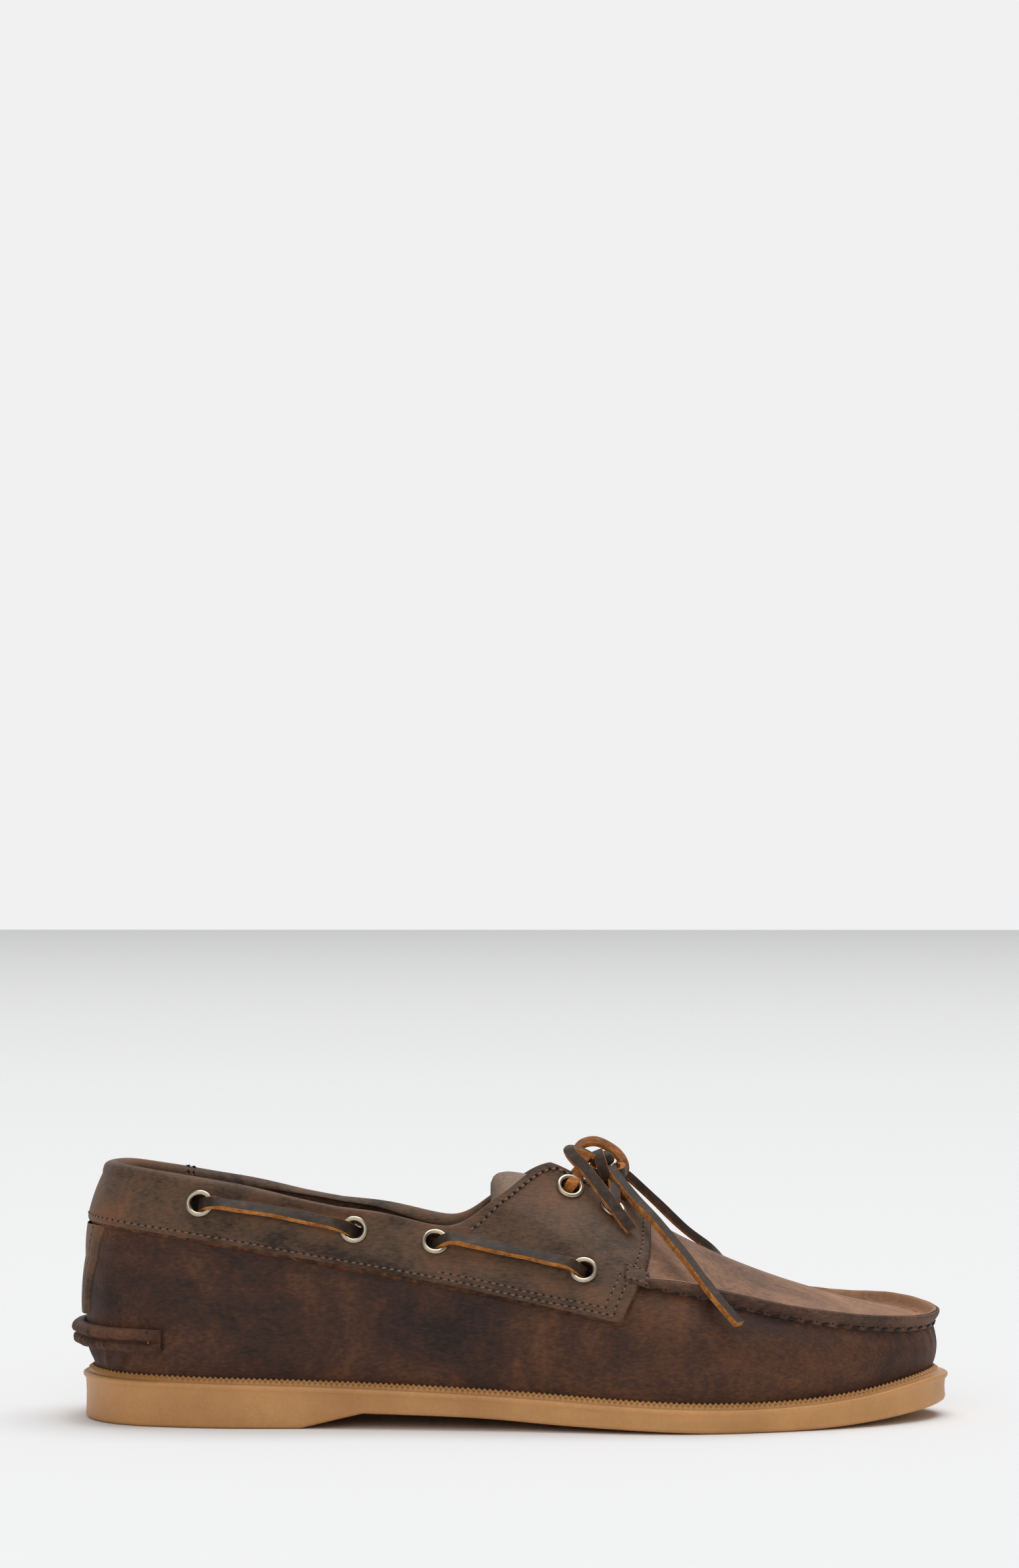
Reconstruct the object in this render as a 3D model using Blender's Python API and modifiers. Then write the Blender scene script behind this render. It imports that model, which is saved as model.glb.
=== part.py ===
"""Boat shoe for the right foot: gum sole, moccasin upper, rawhide laces.

Metres, +Z up, toe towards +X, lateral side towards -Y, standing on z = 0.
"""
import math
from collections import namedtuple

import bmesh
import bpy
from mathutils import Matrix, Vector

# The last
LAST_LENGTH = 0.2862
BALL_WIDTH = 0.098
BACK_HEIGHT = 0.070
INSTEP_HEIGHT = 0.076
TOE_HEIGHT = 0.020

# The sole
HEEL_MARGIN = 0.0042
SIDE_MARGIN = 0.0050
TOE_MARGIN = 0.0056
SOLE_TOP = 0.017
TOE_SPRING = 0.0055
BREAST_HEIGHT = 0.0051
HEEL_BLOCK = 0.076
BREAST_SLOPE = 0.021
LIP_DROP = 0.0018
LIP_WIDTH = 0.0012
LIP_STEP = 0.0009
SOLE_BEVEL = 0.0012

# Leather
WALL = 0.0020
GAP = 0.0003
INSOLE_THICKNESS = 0.0030
TONGUE_THICKNESS = 0.0022
TONGUE_WIDTH = 0.044
PANEL_THICKNESS = 0.0014
PANEL_GAP = 0.0005
ROLL_CLEARANCE = 0.0010
BACKSTAY_THICKNESS = 0.0012
BACKSTAY_CLEARANCE = 0.00045

# Raised seams
COLLAR_ROLL_HEIGHT = 0.0036
COLLAR_ROLL_REACH = 0.0028
HEEL_ROLL_HEIGHT = 0.0078
HEEL_ROLL_THICKNESS = 0.0046
HEEL_ROLL_END = 0.200
SEAM_HEIGHT = 0.0036
SEAM_WIDTH = 0.0027
SEAM_START = 0.618
SEAM_LEAN = 0.5

# Eyelets and laces
EYELET_HOLE = 0.0060
EYELET_FLANGE = 0.0095
EYELET_BARREL = 0.0068
EYELET_RISE = 0.0008
EYELET_SEAT = 0.0006
EYELET_SIDES = 10
LACE_WIDTH = 0.0036
LACE_THICKNESS = 0.0018
LACE_CORD = 0.0026

# How finely the round forms are divided
LINES = 60
LOWER_STEPS = 5
UPPER_STEPS = 7
PANEL_LEVEL_START = 0.33
BACKSTAY_COLUMNS = 3
HOLE_SIDES = 8
HOLE_CLEARANCE = 0.0006
HOLE_RADIUS = EYELET_BARREL / 2.0 + HOLE_CLEARANCE
HOLE_DEPTH = 0.012
LACE_STEPS = 10
LACE_BOW = 0.015
LACE_END_LIFT = EYELET_SEAT + EYELET_RISE
LACE_LIFT_SHARE = 0.75
CROSSING_LIFT = 0.0066
CORD_FINE = 12
CORD_STEP = 0.0060
TURN_STEP = 0.004
TURN_GAP = 0.004
SEAM_PROBE = 0.01
SEARCH_STEPS = 30
SPOT_TURNS = (0.05, 0.95)
SPOT_LEVELS = (0.3, 1.0)
TONGUE_LENGTHS = 9
TONGUE_HALVES = 4
MERGE = 0.00001
LACE_SECTION = (
    (-0.50, 0.20),
    (-0.50, -0.20),
    (-0.38, -0.50),
    (0.38, -0.50),
    (0.50, -0.20),
    (0.50, 0.20),
    (0.38, 0.50),
    (-0.38, 0.50),
)

# One row for each 180 / (rows - 1) degrees of the way from heel to toe.
# along: share of LAST_LENGTH from the heel. half, centre and tilt: shares of BALL_WIDTH.
# rise: share of the upper's local height above the sole.
Row = namedtuple("Row", "along half centre rise tilt")

FEATHER_RING = (
    Row(0.000, 0.000, 0.000, 0.000, 0.000),
    Row(0.038, 0.242, 0.000, 0.000, 0.000),
    Row(0.146, 0.345, -0.003, 0.000, 0.000),
    Row(0.309, 0.332, -0.026, 0.000, 0.000),
    Row(0.500, 0.378, -0.041, 0.000, 0.000),
    Row(0.691, 0.493, -0.015, 0.000, 0.000),
    Row(0.854, 0.408, 0.031, 0.000, 0.000),
    Row(0.962, 0.219, 0.061, 0.000, 0.000),
    Row(1.000, 0.000, 0.066, 0.000, 0.000),
)
WALL_RING = (
    Row(-0.010, 0.000, 0.000, 0.243, 0.000),
    Row(0.024, 0.270, 0.000, 0.238, 0.000),
    Row(0.143, 0.378, -0.003, 0.227, 0.000),
    Row(0.307, 0.362, -0.026, 0.217, 0.000),
    Row(0.501, 0.403, -0.036, 0.207, 0.000),
    Row(0.695, 0.520, -0.015, 0.270, 0.000),
    Row(0.861, 0.434, 0.033, 0.344, 0.000),
    Row(0.969, 0.238, 0.061, 0.417, 0.000),
    Row(1.006, 0.000, 0.066, 0.465, 0.000),
)
SEAM_RING = (
    Row(-0.006, 0.000, 0.000, 0.543, 0.000),
    Row(0.029, 0.253, 0.000, 0.546, 0.000),
    Row(0.146, 0.355, -0.003, 0.542, 0.000),
    Row(0.310, 0.355, -0.020, 0.502, 0.000),
    Row(0.495, 0.386, -0.031, 0.459, 0.000),
    Row(0.663, 0.413, -0.010, 0.625, 0.000),
    Row(0.845, 0.362, 0.031, 0.688, 0.004),
    Row(0.958, 0.209, 0.059, 0.781, 0.018),
    Row(0.999, 0.000, 0.066, 0.812, 0.000),
)
CROWN_RING = (
    Row(-0.001, 0.000, 0.000, 0.757, 0.000),
    Row(0.032, 0.238, 0.000, 0.760, 0.000),
    Row(0.146, 0.324, 0.000, 0.738, 0.000),
    Row(0.314, 0.330, -0.010, 0.654, 0.000),
    Row(0.464, 0.345, -0.010, 0.592, 0.000),
    Row(0.593, 0.286, 0.000, 0.796, 0.000),
    Row(0.726, 0.219, 0.015, 0.828, 0.000),
    Row(0.806, 0.107, 0.031, 0.864, 0.003),
    Row(0.824, 0.000, 0.036, 0.893, 0.000),
)
EDGE_RING = (
    Row(0.017, 0.000, 0.000, 0.955, 0.000),
    Row(0.036, 0.148, 0.000, 0.954, 0.000),
    Row(0.080, 0.238, 0.000, 0.930, -0.004),
    Row(0.150, 0.282, 0.000, 0.886, -0.007),
    Row(0.237, 0.299, 0.000, 0.840, -0.007),
    Row(0.338, 0.304, 0.000, 0.775, -0.004),
    Row(0.429, 0.291, 0.000, 0.696, -0.002),
    Row(0.483, 0.243, 0.000, 0.836, -0.001),
    Row(0.534, 0.158, 0.000, 0.974, 0.000),
    Row(0.583, 0.133, 0.000, 0.984, 0.000),
    Row(0.618, 0.130, 0.000, 0.974, 0.000),
    Row(0.646, 0.100, 0.000, 0.942, 0.000),
    Row(0.660, 0.000, 0.000, 0.880, 0.000),
)
RINGS = (FEATHER_RING, WALL_RING, SEAM_RING, CROWN_RING, EDGE_RING)

# Lengthwise profiles: share of LAST_LENGTH from the heel, share of the named height.
Knot = namedtuple("Knot", "along height")
SOLE_TOP_PROFILE = (
    Knot(0.00, 1.00),
    Knot(0.22, 0.92),
    Knot(0.45, 0.78),
    Knot(0.63, 0.61),
    Knot(0.74, 0.54),
    Knot(0.83, 0.56),
    Knot(0.91, 0.68),
    Knot(1.00, 0.95),
)
ARCH_PROFILE = (
    Knot(0.00, 1.00),
    Knot(0.33, 0.80),
    Knot(0.57, 0.43),
    Knot(0.79, 0.20),
    Knot(1.00, 0.00),
)
# The side panel's lower edge (along, share of BACK_HEIGHT above the sole) and, for rising
# shares of BACK_HEIGHT, how far along its front edge stands.
PANEL_LOWER_EDGE = (
    Knot(0.00, 0.708),
    Knot(0.06, 0.684),
    Knot(0.17, 0.626),
    Knot(0.27, 0.563),
    Knot(0.37, 0.507),
    Knot(0.50, 0.430),
    Knot(0.63, 0.358),
)
FrontKnot = namedtuple("FrontKnot", "rise along")
PANEL_FRONT_EDGE = (
    FrontKnot(0.300, 0.621),
    FrontKnot(0.361, 0.627),
    FrontKnot(0.573, 0.652),
    FrontKnot(0.661, 0.660),
    FrontKnot(0.776, 0.662),
)
PANEL_END = 0.905
ROLL_FADE_START = 0.43
ROLL_FADE_END = 0.50

# The backstay: share of BACK_HEIGHT above the sole, half width as a turn.
StayRow = namedtuple("StayRow", "rise half")
BACKSTAY_ROWS = (
    StayRow(0.305, 0.066),
    StayRow(0.500, 0.078),
    StayRow(0.670, 0.104),
)
HEEL_ROLL_RISE = 0.183

# Sections in shares of the named width and height: across the wall, along it.
ROLL_SECTION = (
    (0.90, -0.05),
    (0.92, 0.50),
    (0.30, 1.00),
    (-0.60, 0.92),
    (-1.06, 0.50),
    (-0.90, 0.28),
)
FLAT_SECTION = (
    (1.00, 0.01),
    (0.98, 0.08),
    (0.85, 0.15),
    (0.50, 0.15),
    (0.34, 0.13),
    (0.27, 0.11),
)
HEEL_ROLL_SECTION = (
    (0.10, -0.47),
    (0.62, -0.50),
    (1.00, -0.32),
    (0.96, -0.12),
    (0.66, 0.00),
    (0.96, 0.12),
    (1.00, 0.32),
    (0.62, 0.50),
    (0.10, 0.47),
)
SEAM_SECTION = (
    (-0.46, 0.10),
    (0.44, 0.10),
    (0.50, 0.36),
    (0.45, 0.78),
    (0.22, 1.00),
    (-0.22, 1.00),
    (-0.45, 0.78),
    (-0.50, 0.36),
)

# Where each eyelet shows from the side: share of LAST_LENGTH, share of the upper's height there.
EyeletSpot = namedtuple("EyeletSpot", "along rise")
EYELETS = (
    EyeletSpot(0.132, 0.8260),
    EyeletSpot(0.313, 0.7226),
    EyeletSpot(0.408, 0.6509),
    EyeletSpot(0.583, 0.5836),
    EyeletSpot(0.565, 0.9192),
    EyeletSpot(0.614, 0.9007),
)

# Routes of the laces' free ends and loop, measured from the knot's centre.
NEAR_END_ROUTE = (
    (0.0034, -0.0048, -0.0020),
    (0.0120, -0.0170, -0.0088),
    (0.0230, -0.0280, -0.0208),
    (0.0335, -0.0402, -0.0363),
    (0.0405, -0.0482, -0.0452),
    (0.0465, -0.0520, -0.0548),
)
FAR_END_ROUTE = (
    (0.0044, 0.0044, -0.0016),
    (0.0140, 0.0150, -0.0103),
    (0.0270, 0.0235, -0.0223),
    (0.0380, 0.0330, -0.0318),
    (0.0455, 0.0430, -0.0388),
    (0.0500, 0.0510, -0.0488),
    (0.0530, 0.0545, -0.0578),
)
SHORT_END_ROUTE = (
    (-0.0034, -0.0040, 0.0023),
    (-0.0090, -0.0075, 0.0057),
    (-0.0130, -0.0150, 0.0052),
    (-0.0080, -0.0215, 0.0007),
    (0.0010, -0.0255, -0.0078),
    (0.0100, -0.0285, -0.0188),
)
LOOP_ROUTE = (
    (-0.0038, 0.0043, 0.0011),
    (-0.0080, 0.0090, 0.0047),
    (-0.0020, 0.0125, 0.0087),
    (0.0065, 0.0110, 0.0057),
    (0.0100, 0.0065, 0.0002),
    (0.0058, 0.0022, 0.0004),
)
# The knot stands over the instep: share of LAST_LENGTH, share of INSTEP_HEIGHT above the sole.
KNOT_ALONG = 0.6073
KNOT_RISE = 1.0145
KNOT_SIZE = (0.0120, 0.0100, 0.0080)
ARCH_END = 0.7296
SPRING_START = 0.8064
INSTEP_ALONG = 0.54
BACK_ALONG = 0.30

# The tongue: share of the way from its front end to its top, shares of INSTEP_HEIGHT and TONGUE_WIDTH.
TongueRow = namedtuple("TongueRow", "way crest drop width")
TONGUE_FRONT = 0.6737
TONGUE_TOP = 0.4720
TONGUE_ROWS = (
    TongueRow(0.00, 0.652, 0.050, 0.80),
    TongueRow(0.18, 0.714, 0.080, 0.90),
    TongueRow(0.40, 0.800, 0.120, 1.00),
    TongueRow(0.65, 0.900, 0.160, 1.00),
    TongueRow(0.88, 0.932, 0.150, 0.98),
    TongueRow(1.00, 0.915, 0.110, 0.72),
)


def clear_scene():
    for item in list(bpy.data.objects):
        bpy.data.objects.remove(item, do_unlink=True)


def new_collection(name):
    group = bpy.data.collections.new(name)
    bpy.context.scene.collection.children.link(group)
    return group


def material(name, colour, roughness, metallic=0.0):
    made = bpy.data.materials.new(name)
    made.use_nodes = True
    shader = made.node_tree.nodes["Principled BSDF"]
    shader.inputs["Base Color"].default_value = (*colour, 1.0)
    shader.inputs["Roughness"].default_value = roughness
    shader.inputs["Metallic"].default_value = metallic
    return made


def add_object(mesh, finish):
    mesh.transform(FRAME)
    made = bpy.data.objects.new(mesh.name, mesh)
    PARTS.objects.link(made)
    mesh.materials.append(finish)
    return made


def hermite(before, start, end, after, share):
    """Catmull-Rom value between two evenly spaced knots."""
    slope_in = (end - before) / 2.0
    slope_out = (after - start) / 2.0
    square = share * share
    cube = square * share
    return (
        start * (2.0 * cube - 3.0 * square + 1.0)
        + slope_in * (cube - 2.0 * square + share)
        + end * (3.0 * square - 2.0 * cube)
        + slope_out * (cube - square)
    )


def ring_value(rows, column, turn):
    """Column at a turn of -1 to 1; half and tilt change sign across the centre line."""
    mirrored = -1.0 if column in ("half", "tilt") else 1.0
    last = len(rows) - 1
    place = abs(turn) * last
    index = min(int(place), last - 1)

    def knot(number):
        value = getattr(rows[last - abs(last - abs(number))], column)
        return value * mirrored if number < 0 or number > last else value

    value = hermite(knot(index - 1), knot(index), knot(index + 1), knot(index + 2), place - index)
    return value * mirrored if turn < 0.0 else value


def profile_value(knots, along):
    """Smooth height between unevenly spaced knots, flat beyond them."""
    if along <= knots[0][0]:
        return knots[0][1]
    if along >= knots[-1][0]:
        return knots[-1][1]
    slopes = []
    for number in range(len(knots)):
        low = knots[max(number - 1, 0)]
        high = knots[min(number + 1, len(knots) - 1)]
        slopes.append((high[1] - low[1]) / (high[0] - low[0]))
    index = max(number for number, knot in enumerate(knots[:-1]) if knot[0] <= along)
    span = knots[index + 1][0] - knots[index][0]
    share = (along - knots[index][0]) / span
    square = share * share
    cube = square * share
    return (
        knots[index][1] * (2.0 * cube - 3.0 * square + 1.0)
        + slopes[index] * span * (cube - 2.0 * square + share)
        + knots[index + 1][1] * (3.0 * square - 2.0 * cube)
        + slopes[index + 1] * span * (cube - square)
    )


def sole_top(x):
    return SOLE_TOP * profile_value(SOLE_TOP_PROFILE, (x - HEEL_MARGIN) / LAST_LENGTH)


def sole_bottom(x):
    """Flat heel, sloped breast, arch, flat tread and toe spring."""
    arch_start = HEEL_BLOCK + BREAST_SLOPE
    arch_end = HEEL_MARGIN + ARCH_END * LAST_LENGTH
    spring_start = HEEL_MARGIN + SPRING_START * LAST_LENGTH
    toe = HEEL_MARGIN + LAST_LENGTH + TOE_MARGIN
    if x <= HEEL_BLOCK:
        return 0.0
    if x <= arch_start:
        return BREAST_HEIGHT * (x - HEEL_BLOCK) / BREAST_SLOPE
    if x <= arch_end:
        return BREAST_HEIGHT * profile_value(ARCH_PROFILE, (x - arch_start) / (arch_end - arch_start))
    if x <= spring_start:
        return 0.0
    return TOE_SPRING * ((x - spring_start) / (toe - spring_start)) ** 2


def local_height(along):
    """Height of the upper above the sole, from back to instep to toe."""
    if along <= BACK_ALONG:
        return BACK_HEIGHT
    if along <= INSTEP_ALONG:
        share = (along - BACK_ALONG) / (INSTEP_ALONG - BACK_ALONG)
        return BACK_HEIGHT + (INSTEP_HEIGHT - BACK_HEIGHT) * share
    share = min((along - INSTEP_ALONG) / (1.0 - INSTEP_ALONG), 1.0)
    return INSTEP_HEIGHT + (TOE_HEIGHT - INSTEP_HEIGHT) * share


def ring_point(rows, turn):
    """Point of a ring: turn 0 is the heel, 1 the toe, positive on the lateral side."""
    along = ring_value(rows, "along", turn)
    x = HEEL_MARGIN + along * LAST_LENGTH
    y = (ring_value(rows, "centre", turn) - ring_value(rows, "half", turn)) * BALL_WIDTH
    z = sole_top(x) + ring_value(rows, "rise", turn) * local_height(along)
    z -= ring_value(rows, "tilt", turn) * BALL_WIDTH
    return Vector((x, y, z))


def through_three(start, middle, end, share):
    """Parabola through three points, its middle reached at the share of the chords."""
    first = (middle - start).length
    second = (end - middle).length
    at = first / (first + second)
    rising = (middle - start) / at
    bend = ((end - middle) / (1.0 - at) - rising) * share * (share - at)
    return start + rising * share + bend


def upper_point(turn, level):
    """Outer face of the upper: level 0 at the sole, 0.5 on the moccasin seam, 1 on the edge."""
    feather, wall, seam, crown, edge = (ring_point(rows, turn) for rows in RINGS)
    feather.z += GAP
    if level <= 0.5:
        return through_three(feather, wall, seam, level * 2.0)
    return through_three(seam, crown, edge, level * 2.0 - 1.0)


def upper_levels():
    """Levels of the upper's rows, from the sole to the seam to the edge."""
    lower = [0.5 * number / LOWER_STEPS for number in range(LOWER_STEPS)]
    return lower + [0.5 + 0.5 * number / UPPER_STEPS for number in range(UPPER_STEPS + 1)]


def upper_normal(turn, level):
    """Direction out of the leather."""
    step = 0.002
    low = max(level - step, 0.0)
    high = min(level + step, 1.0)
    up = upper_point(turn, high) - upper_point(turn, low)
    around = upper_point(turn + step, level) - upper_point(turn - step, level)
    return around.cross(up).normalized()


def turns(count=LINES):
    """Even turns round the shoe, from the heel along the lateral side and back."""
    return [2.0 * number / count if number <= count // 2 else 2.0 * number / count - 2.0
            for number in range(count)]


def outline_point(turn, outwards):
    """Plan point on the feather line moved square to it."""
    here = ring_point(FEATHER_RING, turn)
    around = ring_point(FEATHER_RING, turn + TURN_STEP) - ring_point(FEATHER_RING, turn - TURN_STEP)
    return here + Vector((around.y, -around.x, 0.0)).normalized() * outwards


def margin(turn):
    """Width of the welt beyond the feather line."""
    way = (1.0 - math.cos(math.pi * turn)) / 2.0
    ends = HEEL_MARGIN + (TOE_MARGIN - HEEL_MARGIN) * way
    return ends + (SIDE_MARGIN - ends) * math.sin(math.pi * abs(turn)) ** 2


def loft_rings(name, rings, finish):
    """Closed body from loops of points, its two ends closed by strips across the shoe."""
    count = len(rings[0])
    made = bmesh.new()
    loops = [[made.verts.new(point) for point in ring] for ring in rings]
    for low, high in zip(loops, loops[1:]):
        for number in range(count):
            after = (number + 1) % count
            made.faces.new((low[number], low[after], high[after], high[number]))
    for loop in (loops[0], loops[-1]):
        for number in range(count // 2):
            left = loop[number:number + 2]
            right = [loop[(count - number - 1) % count], loop[(count - number) % count]]
            made.faces.new(list(dict.fromkeys(left + right)))
    bmesh.ops.recalc_face_normals(made, faces=made.faces)
    mesh = bpy.data.meshes.new(name)
    made.to_mesh(mesh)
    made.free()
    return add_object(mesh, finish)


def grid_shell(name, rows, closed, thickness, finish):
    """Open sheet from rows of points, given its thickness inwards."""
    made = bmesh.new()
    lines = [[made.verts.new(point) for point in row] for row in rows]
    pairs = list(zip(lines, lines[1:]))
    if closed:
        pairs.append((lines[-1], lines[0]))
    for here, after in pairs:
        for number in range(len(here) - 1):
            made.faces.new((here[number], after[number], after[number + 1], here[number + 1]))
    mesh = bpy.data.meshes.new(name)
    made.to_mesh(mesh)
    made.free()
    shell = add_object(mesh, finish)
    solid = shell.modifiers.new("thickness", "SOLIDIFY")
    solid.thickness = thickness
    solid.offset = -1.0
    solid.use_even_offset = True
    split = shell.modifiers.new("split faces", "TRIANGULATE")
    split.quad_method = "FIXED"
    return shell


def build_outsole(finish):
    """Rubber unit: sloping welt top, lip, recessed side and bevelled tread edge."""
    def ring(inset, height):
        points = []
        for turn in turns():
            point = outline_point(turn, margin(turn) - inset)
            points.append(Vector((point.x, point.y, height(point.x))))
        return points

    def lip(x):
        return sole_top(x) - LIP_DROP

    rings = [
        [Vector((p.x, p.y, sole_top(p.x))) for p in (ring_point(FEATHER_RING, t) for t in turns())],
        ring(LIP_WIDTH, lambda x: lip(x) + LIP_WIDTH / 2.0),
        ring(0.0, lip),
        ring(0.0, lambda x: lip(x) - LIP_WIDTH),
        ring(LIP_STEP, lambda x: lip(x) - LIP_WIDTH - LIP_STEP),
        ring(LIP_STEP + SOLE_BEVEL / 2.0, lambda x: sole_bottom(x) + SOLE_BEVEL),
        ring(LIP_STEP + SOLE_BEVEL + SOLE_BEVEL / 2.0, sole_bottom),
    ]
    return loft_rings("outsole", rings, finish)


def build_insole(finish):
    """Sock board just inside the wall of the upper."""
    inset = WALL + GAP * 2.0
    points = [outline_point(turn, -inset) for turn in turns()]
    heights = (GAP, GAP + INSOLE_THICKNESS)
    rings = [[Vector((p.x, p.y, sole_top(p.x) + height)) for p in points] for height in heights]
    return loft_rings("insole", rings, finish)


def build_upper(finish):
    """Wrap and plug as one hollow wall, open at collar, throat and underneath."""
    rows = [[upper_point(turn, level) for level in upper_levels()] for turn in turns()]
    return grid_shell("upper", rows, True, WALL, finish)


def tongue_point(way, side):
    """Outer face of the tongue: way 0 under the plug, 1 at the top, side -1 to 1."""
    crest = profile_value([(row.way, row.crest) for row in TONGUE_ROWS], way) * INSTEP_HEIGHT
    drop = profile_value([(row.way, row.drop) for row in TONGUE_ROWS], way) * INSTEP_HEIGHT
    half = profile_value([(row.way, row.width) for row in TONGUE_ROWS], way) * TONGUE_WIDTH / 2.0
    x = HEEL_MARGIN + (TONGUE_FRONT + (TONGUE_TOP - TONGUE_FRONT) * way) * LAST_LENGTH
    return Vector((x, side * half, sole_top(x) + crest - drop * side * side))


def build_tongue(finish):
    """Leather tongue, its front end tucked under the plug."""
    ways = [number / TONGUE_LENGTHS for number in range(TONGUE_LENGTHS + 1)]
    sides = [1.0 - number / TONGUE_HALVES for number in range(2 * TONGUE_HALVES + 1)]
    rows = [[tongue_point(way, side) for side in sides] for way in ways]
    return grid_shell("tongue", rows, False, TONGUE_THICKNESS, finish)


def panel_holds(point):
    """Whether a point of the upper lies under the side panel."""
    along = (point.x - HEEL_MARGIN) / LAST_LENGTH
    rise = (point.z - sole_top(point.x)) / BACK_HEIGHT
    front = profile_value(PANEL_FRONT_EDGE, rise)
    return rise > profile_value(PANEL_LOWER_EDGE, along) and along < front


def lowest_level(turn, holds):
    """Level at which a form that reaches up to the edge begins."""
    low, high = 0.0, 1.0
    for _ in range(SEARCH_STEPS):
        middle = (low + high) / 2.0
        if holds(upper_point(turn, middle)):
            high = middle
        else:
            low = middle
    return high


def level_at_rise(turn, rise):
    """Level at a share of BACK_HEIGHT above the sole."""
    return lowest_level(turn, lambda point: point.z - sole_top(point.x) > rise * BACK_HEIGHT)


def frame_at(turn, level):
    """Point, direction out of the leather and direction up along it."""
    point = upper_point(turn, level)
    normal = upper_normal(turn, level)
    step = 0.002
    up = upper_point(turn, min(level + step, 1.0)) - upper_point(turn, max(level - step, 0.0))
    return point, normal, up.normalized()


def loft_sections(name, sections, finish, inner_side=None):
    """Closed body from closed sections, its two ends filled.

    From inner_side on, the quads are split the other way, so that an overlay's inner face
    folds as the leather under it does.
    """
    count = len(sections[0])
    made = bmesh.new()
    loops = [[made.verts.new(point) for point in section] for section in sections]
    for low, high in zip(loops, loops[1:]):
        for number in range(count):
            after = (number + 1) % count
            corners = [low[number], low[after], high[after], high[number]]
            if inner_side is not None and number >= inner_side:
                corners = corners[1:] + corners[:1]
            made.faces.new(corners)
    made.faces.new(loops[0])
    made.faces.new(loops[-1])
    bmesh.ops.triangulate(made, faces=made.faces, quad_method="FIXED")
    bmesh.ops.remove_doubles(made, verts=made.verts, dist=MERGE)
    bmesh.ops.recalc_face_normals(made, faces=made.faces)
    mesh = bpy.data.meshes.new(name)
    made.to_mesh(mesh)
    made.free()
    return add_object(mesh, finish)


def panel_section(turn):
    """Closed section of the side panel: outer face, rolled or flat top, inner face."""
    low = lowest_level(turn, panel_holds)
    levels = [max(level, low) for level in upper_levels() if level > PANEL_LEVEL_START]
    frames = [frame_at(turn, level) for level in levels]
    outer = [point + normal * (PANEL_GAP + PANEL_THICKNESS) for point, normal, _ in frames]
    inner = [point + normal * PANEL_GAP for point, normal, _ in frames]
    edge, normal, up = frames[-1]
    along = ring_value(EDGE_RING, "along", turn)
    fade = min(max((along - ROLL_FADE_START) / (ROLL_FADE_END - ROLL_FADE_START), 0.0), 1.0)
    top = []
    for (roll_across, roll_up), (flat_across, flat_up) in zip(ROLL_SECTION, FLAT_SECTION):
        across = roll_across * COLLAR_ROLL_REACH * (1.0 - fade)
        across += flat_across * (PANEL_GAP + PANEL_THICKNESS) * fade
        height = (roll_up * (1.0 - fade) + flat_up * fade) * COLLAR_ROLL_HEIGHT
        top.append(edge + normal * across + up * height)
    lip = edge + normal * PANEL_GAP + up * (ROLL_CLEARANCE * (1.0 - fade) + GAP * fade)
    return outer[:-1] + top + [lip] + inner[-2::-1]


def shared_turns(start, end):
    """The upper's own turns between two others, with those two as ends."""
    inner = [turn for turn in sorted(turns()) if start + TURN_GAP < turn < end - TURN_GAP]
    return [start] + inner + [end]


def front_edge_turn():
    """Turn at which the panel's front edge crosses the line of the moccasin seam."""
    low, high = 0.5, SEAM_START + TURN_STEP
    for _ in range(SEARCH_STEPS):
        middle = (low + high) / 2.0
        if panel_holds(upper_point(middle, 0.5)):
            low = middle
        else:
            high = middle
    return low


def build_side_panel(finish):
    """One leather piece round the heel: rolled collar band and both eyestays."""
    corner = front_edge_turn()
    round_the_heel = shared_turns(-PANEL_END, PANEL_END)
    corners = [side * (corner + step) for side in (-1.0, 1.0) for step in (-TURN_STEP * 2.0, TURN_STEP / 2.0)]
    sections = [panel_section(turn) for turn in sorted(round_the_heel + corners)]
    return loft_sections("side_panel", sections, finish, inner_side=len(sections[0]) // 2)


def build_backstay(finish):
    """Tapered strip up the back, from the heel roll to the panel's lower edge."""
    levels = [level_at_rise(0.0, BACKSTAY_ROWS[0].rise), level_at_rise(0.0, BACKSTAY_ROWS[-1].rise)]
    levels = [levels[0]] + [v for v in upper_levels() if levels[0] < v < levels[1]] + [levels[1]]
    first = levels[0]
    height = levels[-1] - first
    rises = BACKSTAY_ROWS[-1].rise - BACKSTAY_ROWS[0].rise
    columns = range(-BACKSTAY_COLUMNS, BACKSTAY_COLUMNS + 1)
    rows = []
    for level in levels:
        rise = BACKSTAY_ROWS[0].rise + rises * (level - first) / height
        half = profile_value(BACKSTAY_ROWS, rise)
        row = []
        for column in columns:
            turn = half * column / BACKSTAY_COLUMNS
            point, normal, _ = frame_at(turn, level)
            row.append(point + normal * (BACKSTAY_CLEARANCE + BACKSTAY_THICKNESS))
        rows.append(row)
    return grid_shell("backstay", rows, False, BACKSTAY_THICKNESS, finish)


def heel_roll_section(turn):
    """Section of the rolled heel seam, two lips with a groove between them."""
    level = level_at_rise(turn, HEEL_ROLL_RISE)
    point, normal, up = frame_at(turn, level)
    return [
        point + normal * (GAP + across * HEEL_ROLL_THICKNESS) + up * height * HEEL_ROLL_HEIGHT
        for across, height in HEEL_ROLL_SECTION
    ]


def build_heel_roll(finish):
    """Raised seam round the heel, ending on both sides."""
    sections = [heel_roll_section(turn) for turn in shared_turns(-HEEL_ROLL_END, HEEL_ROLL_END)]
    return loft_sections("heel_roll", sections, finish)


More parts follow.
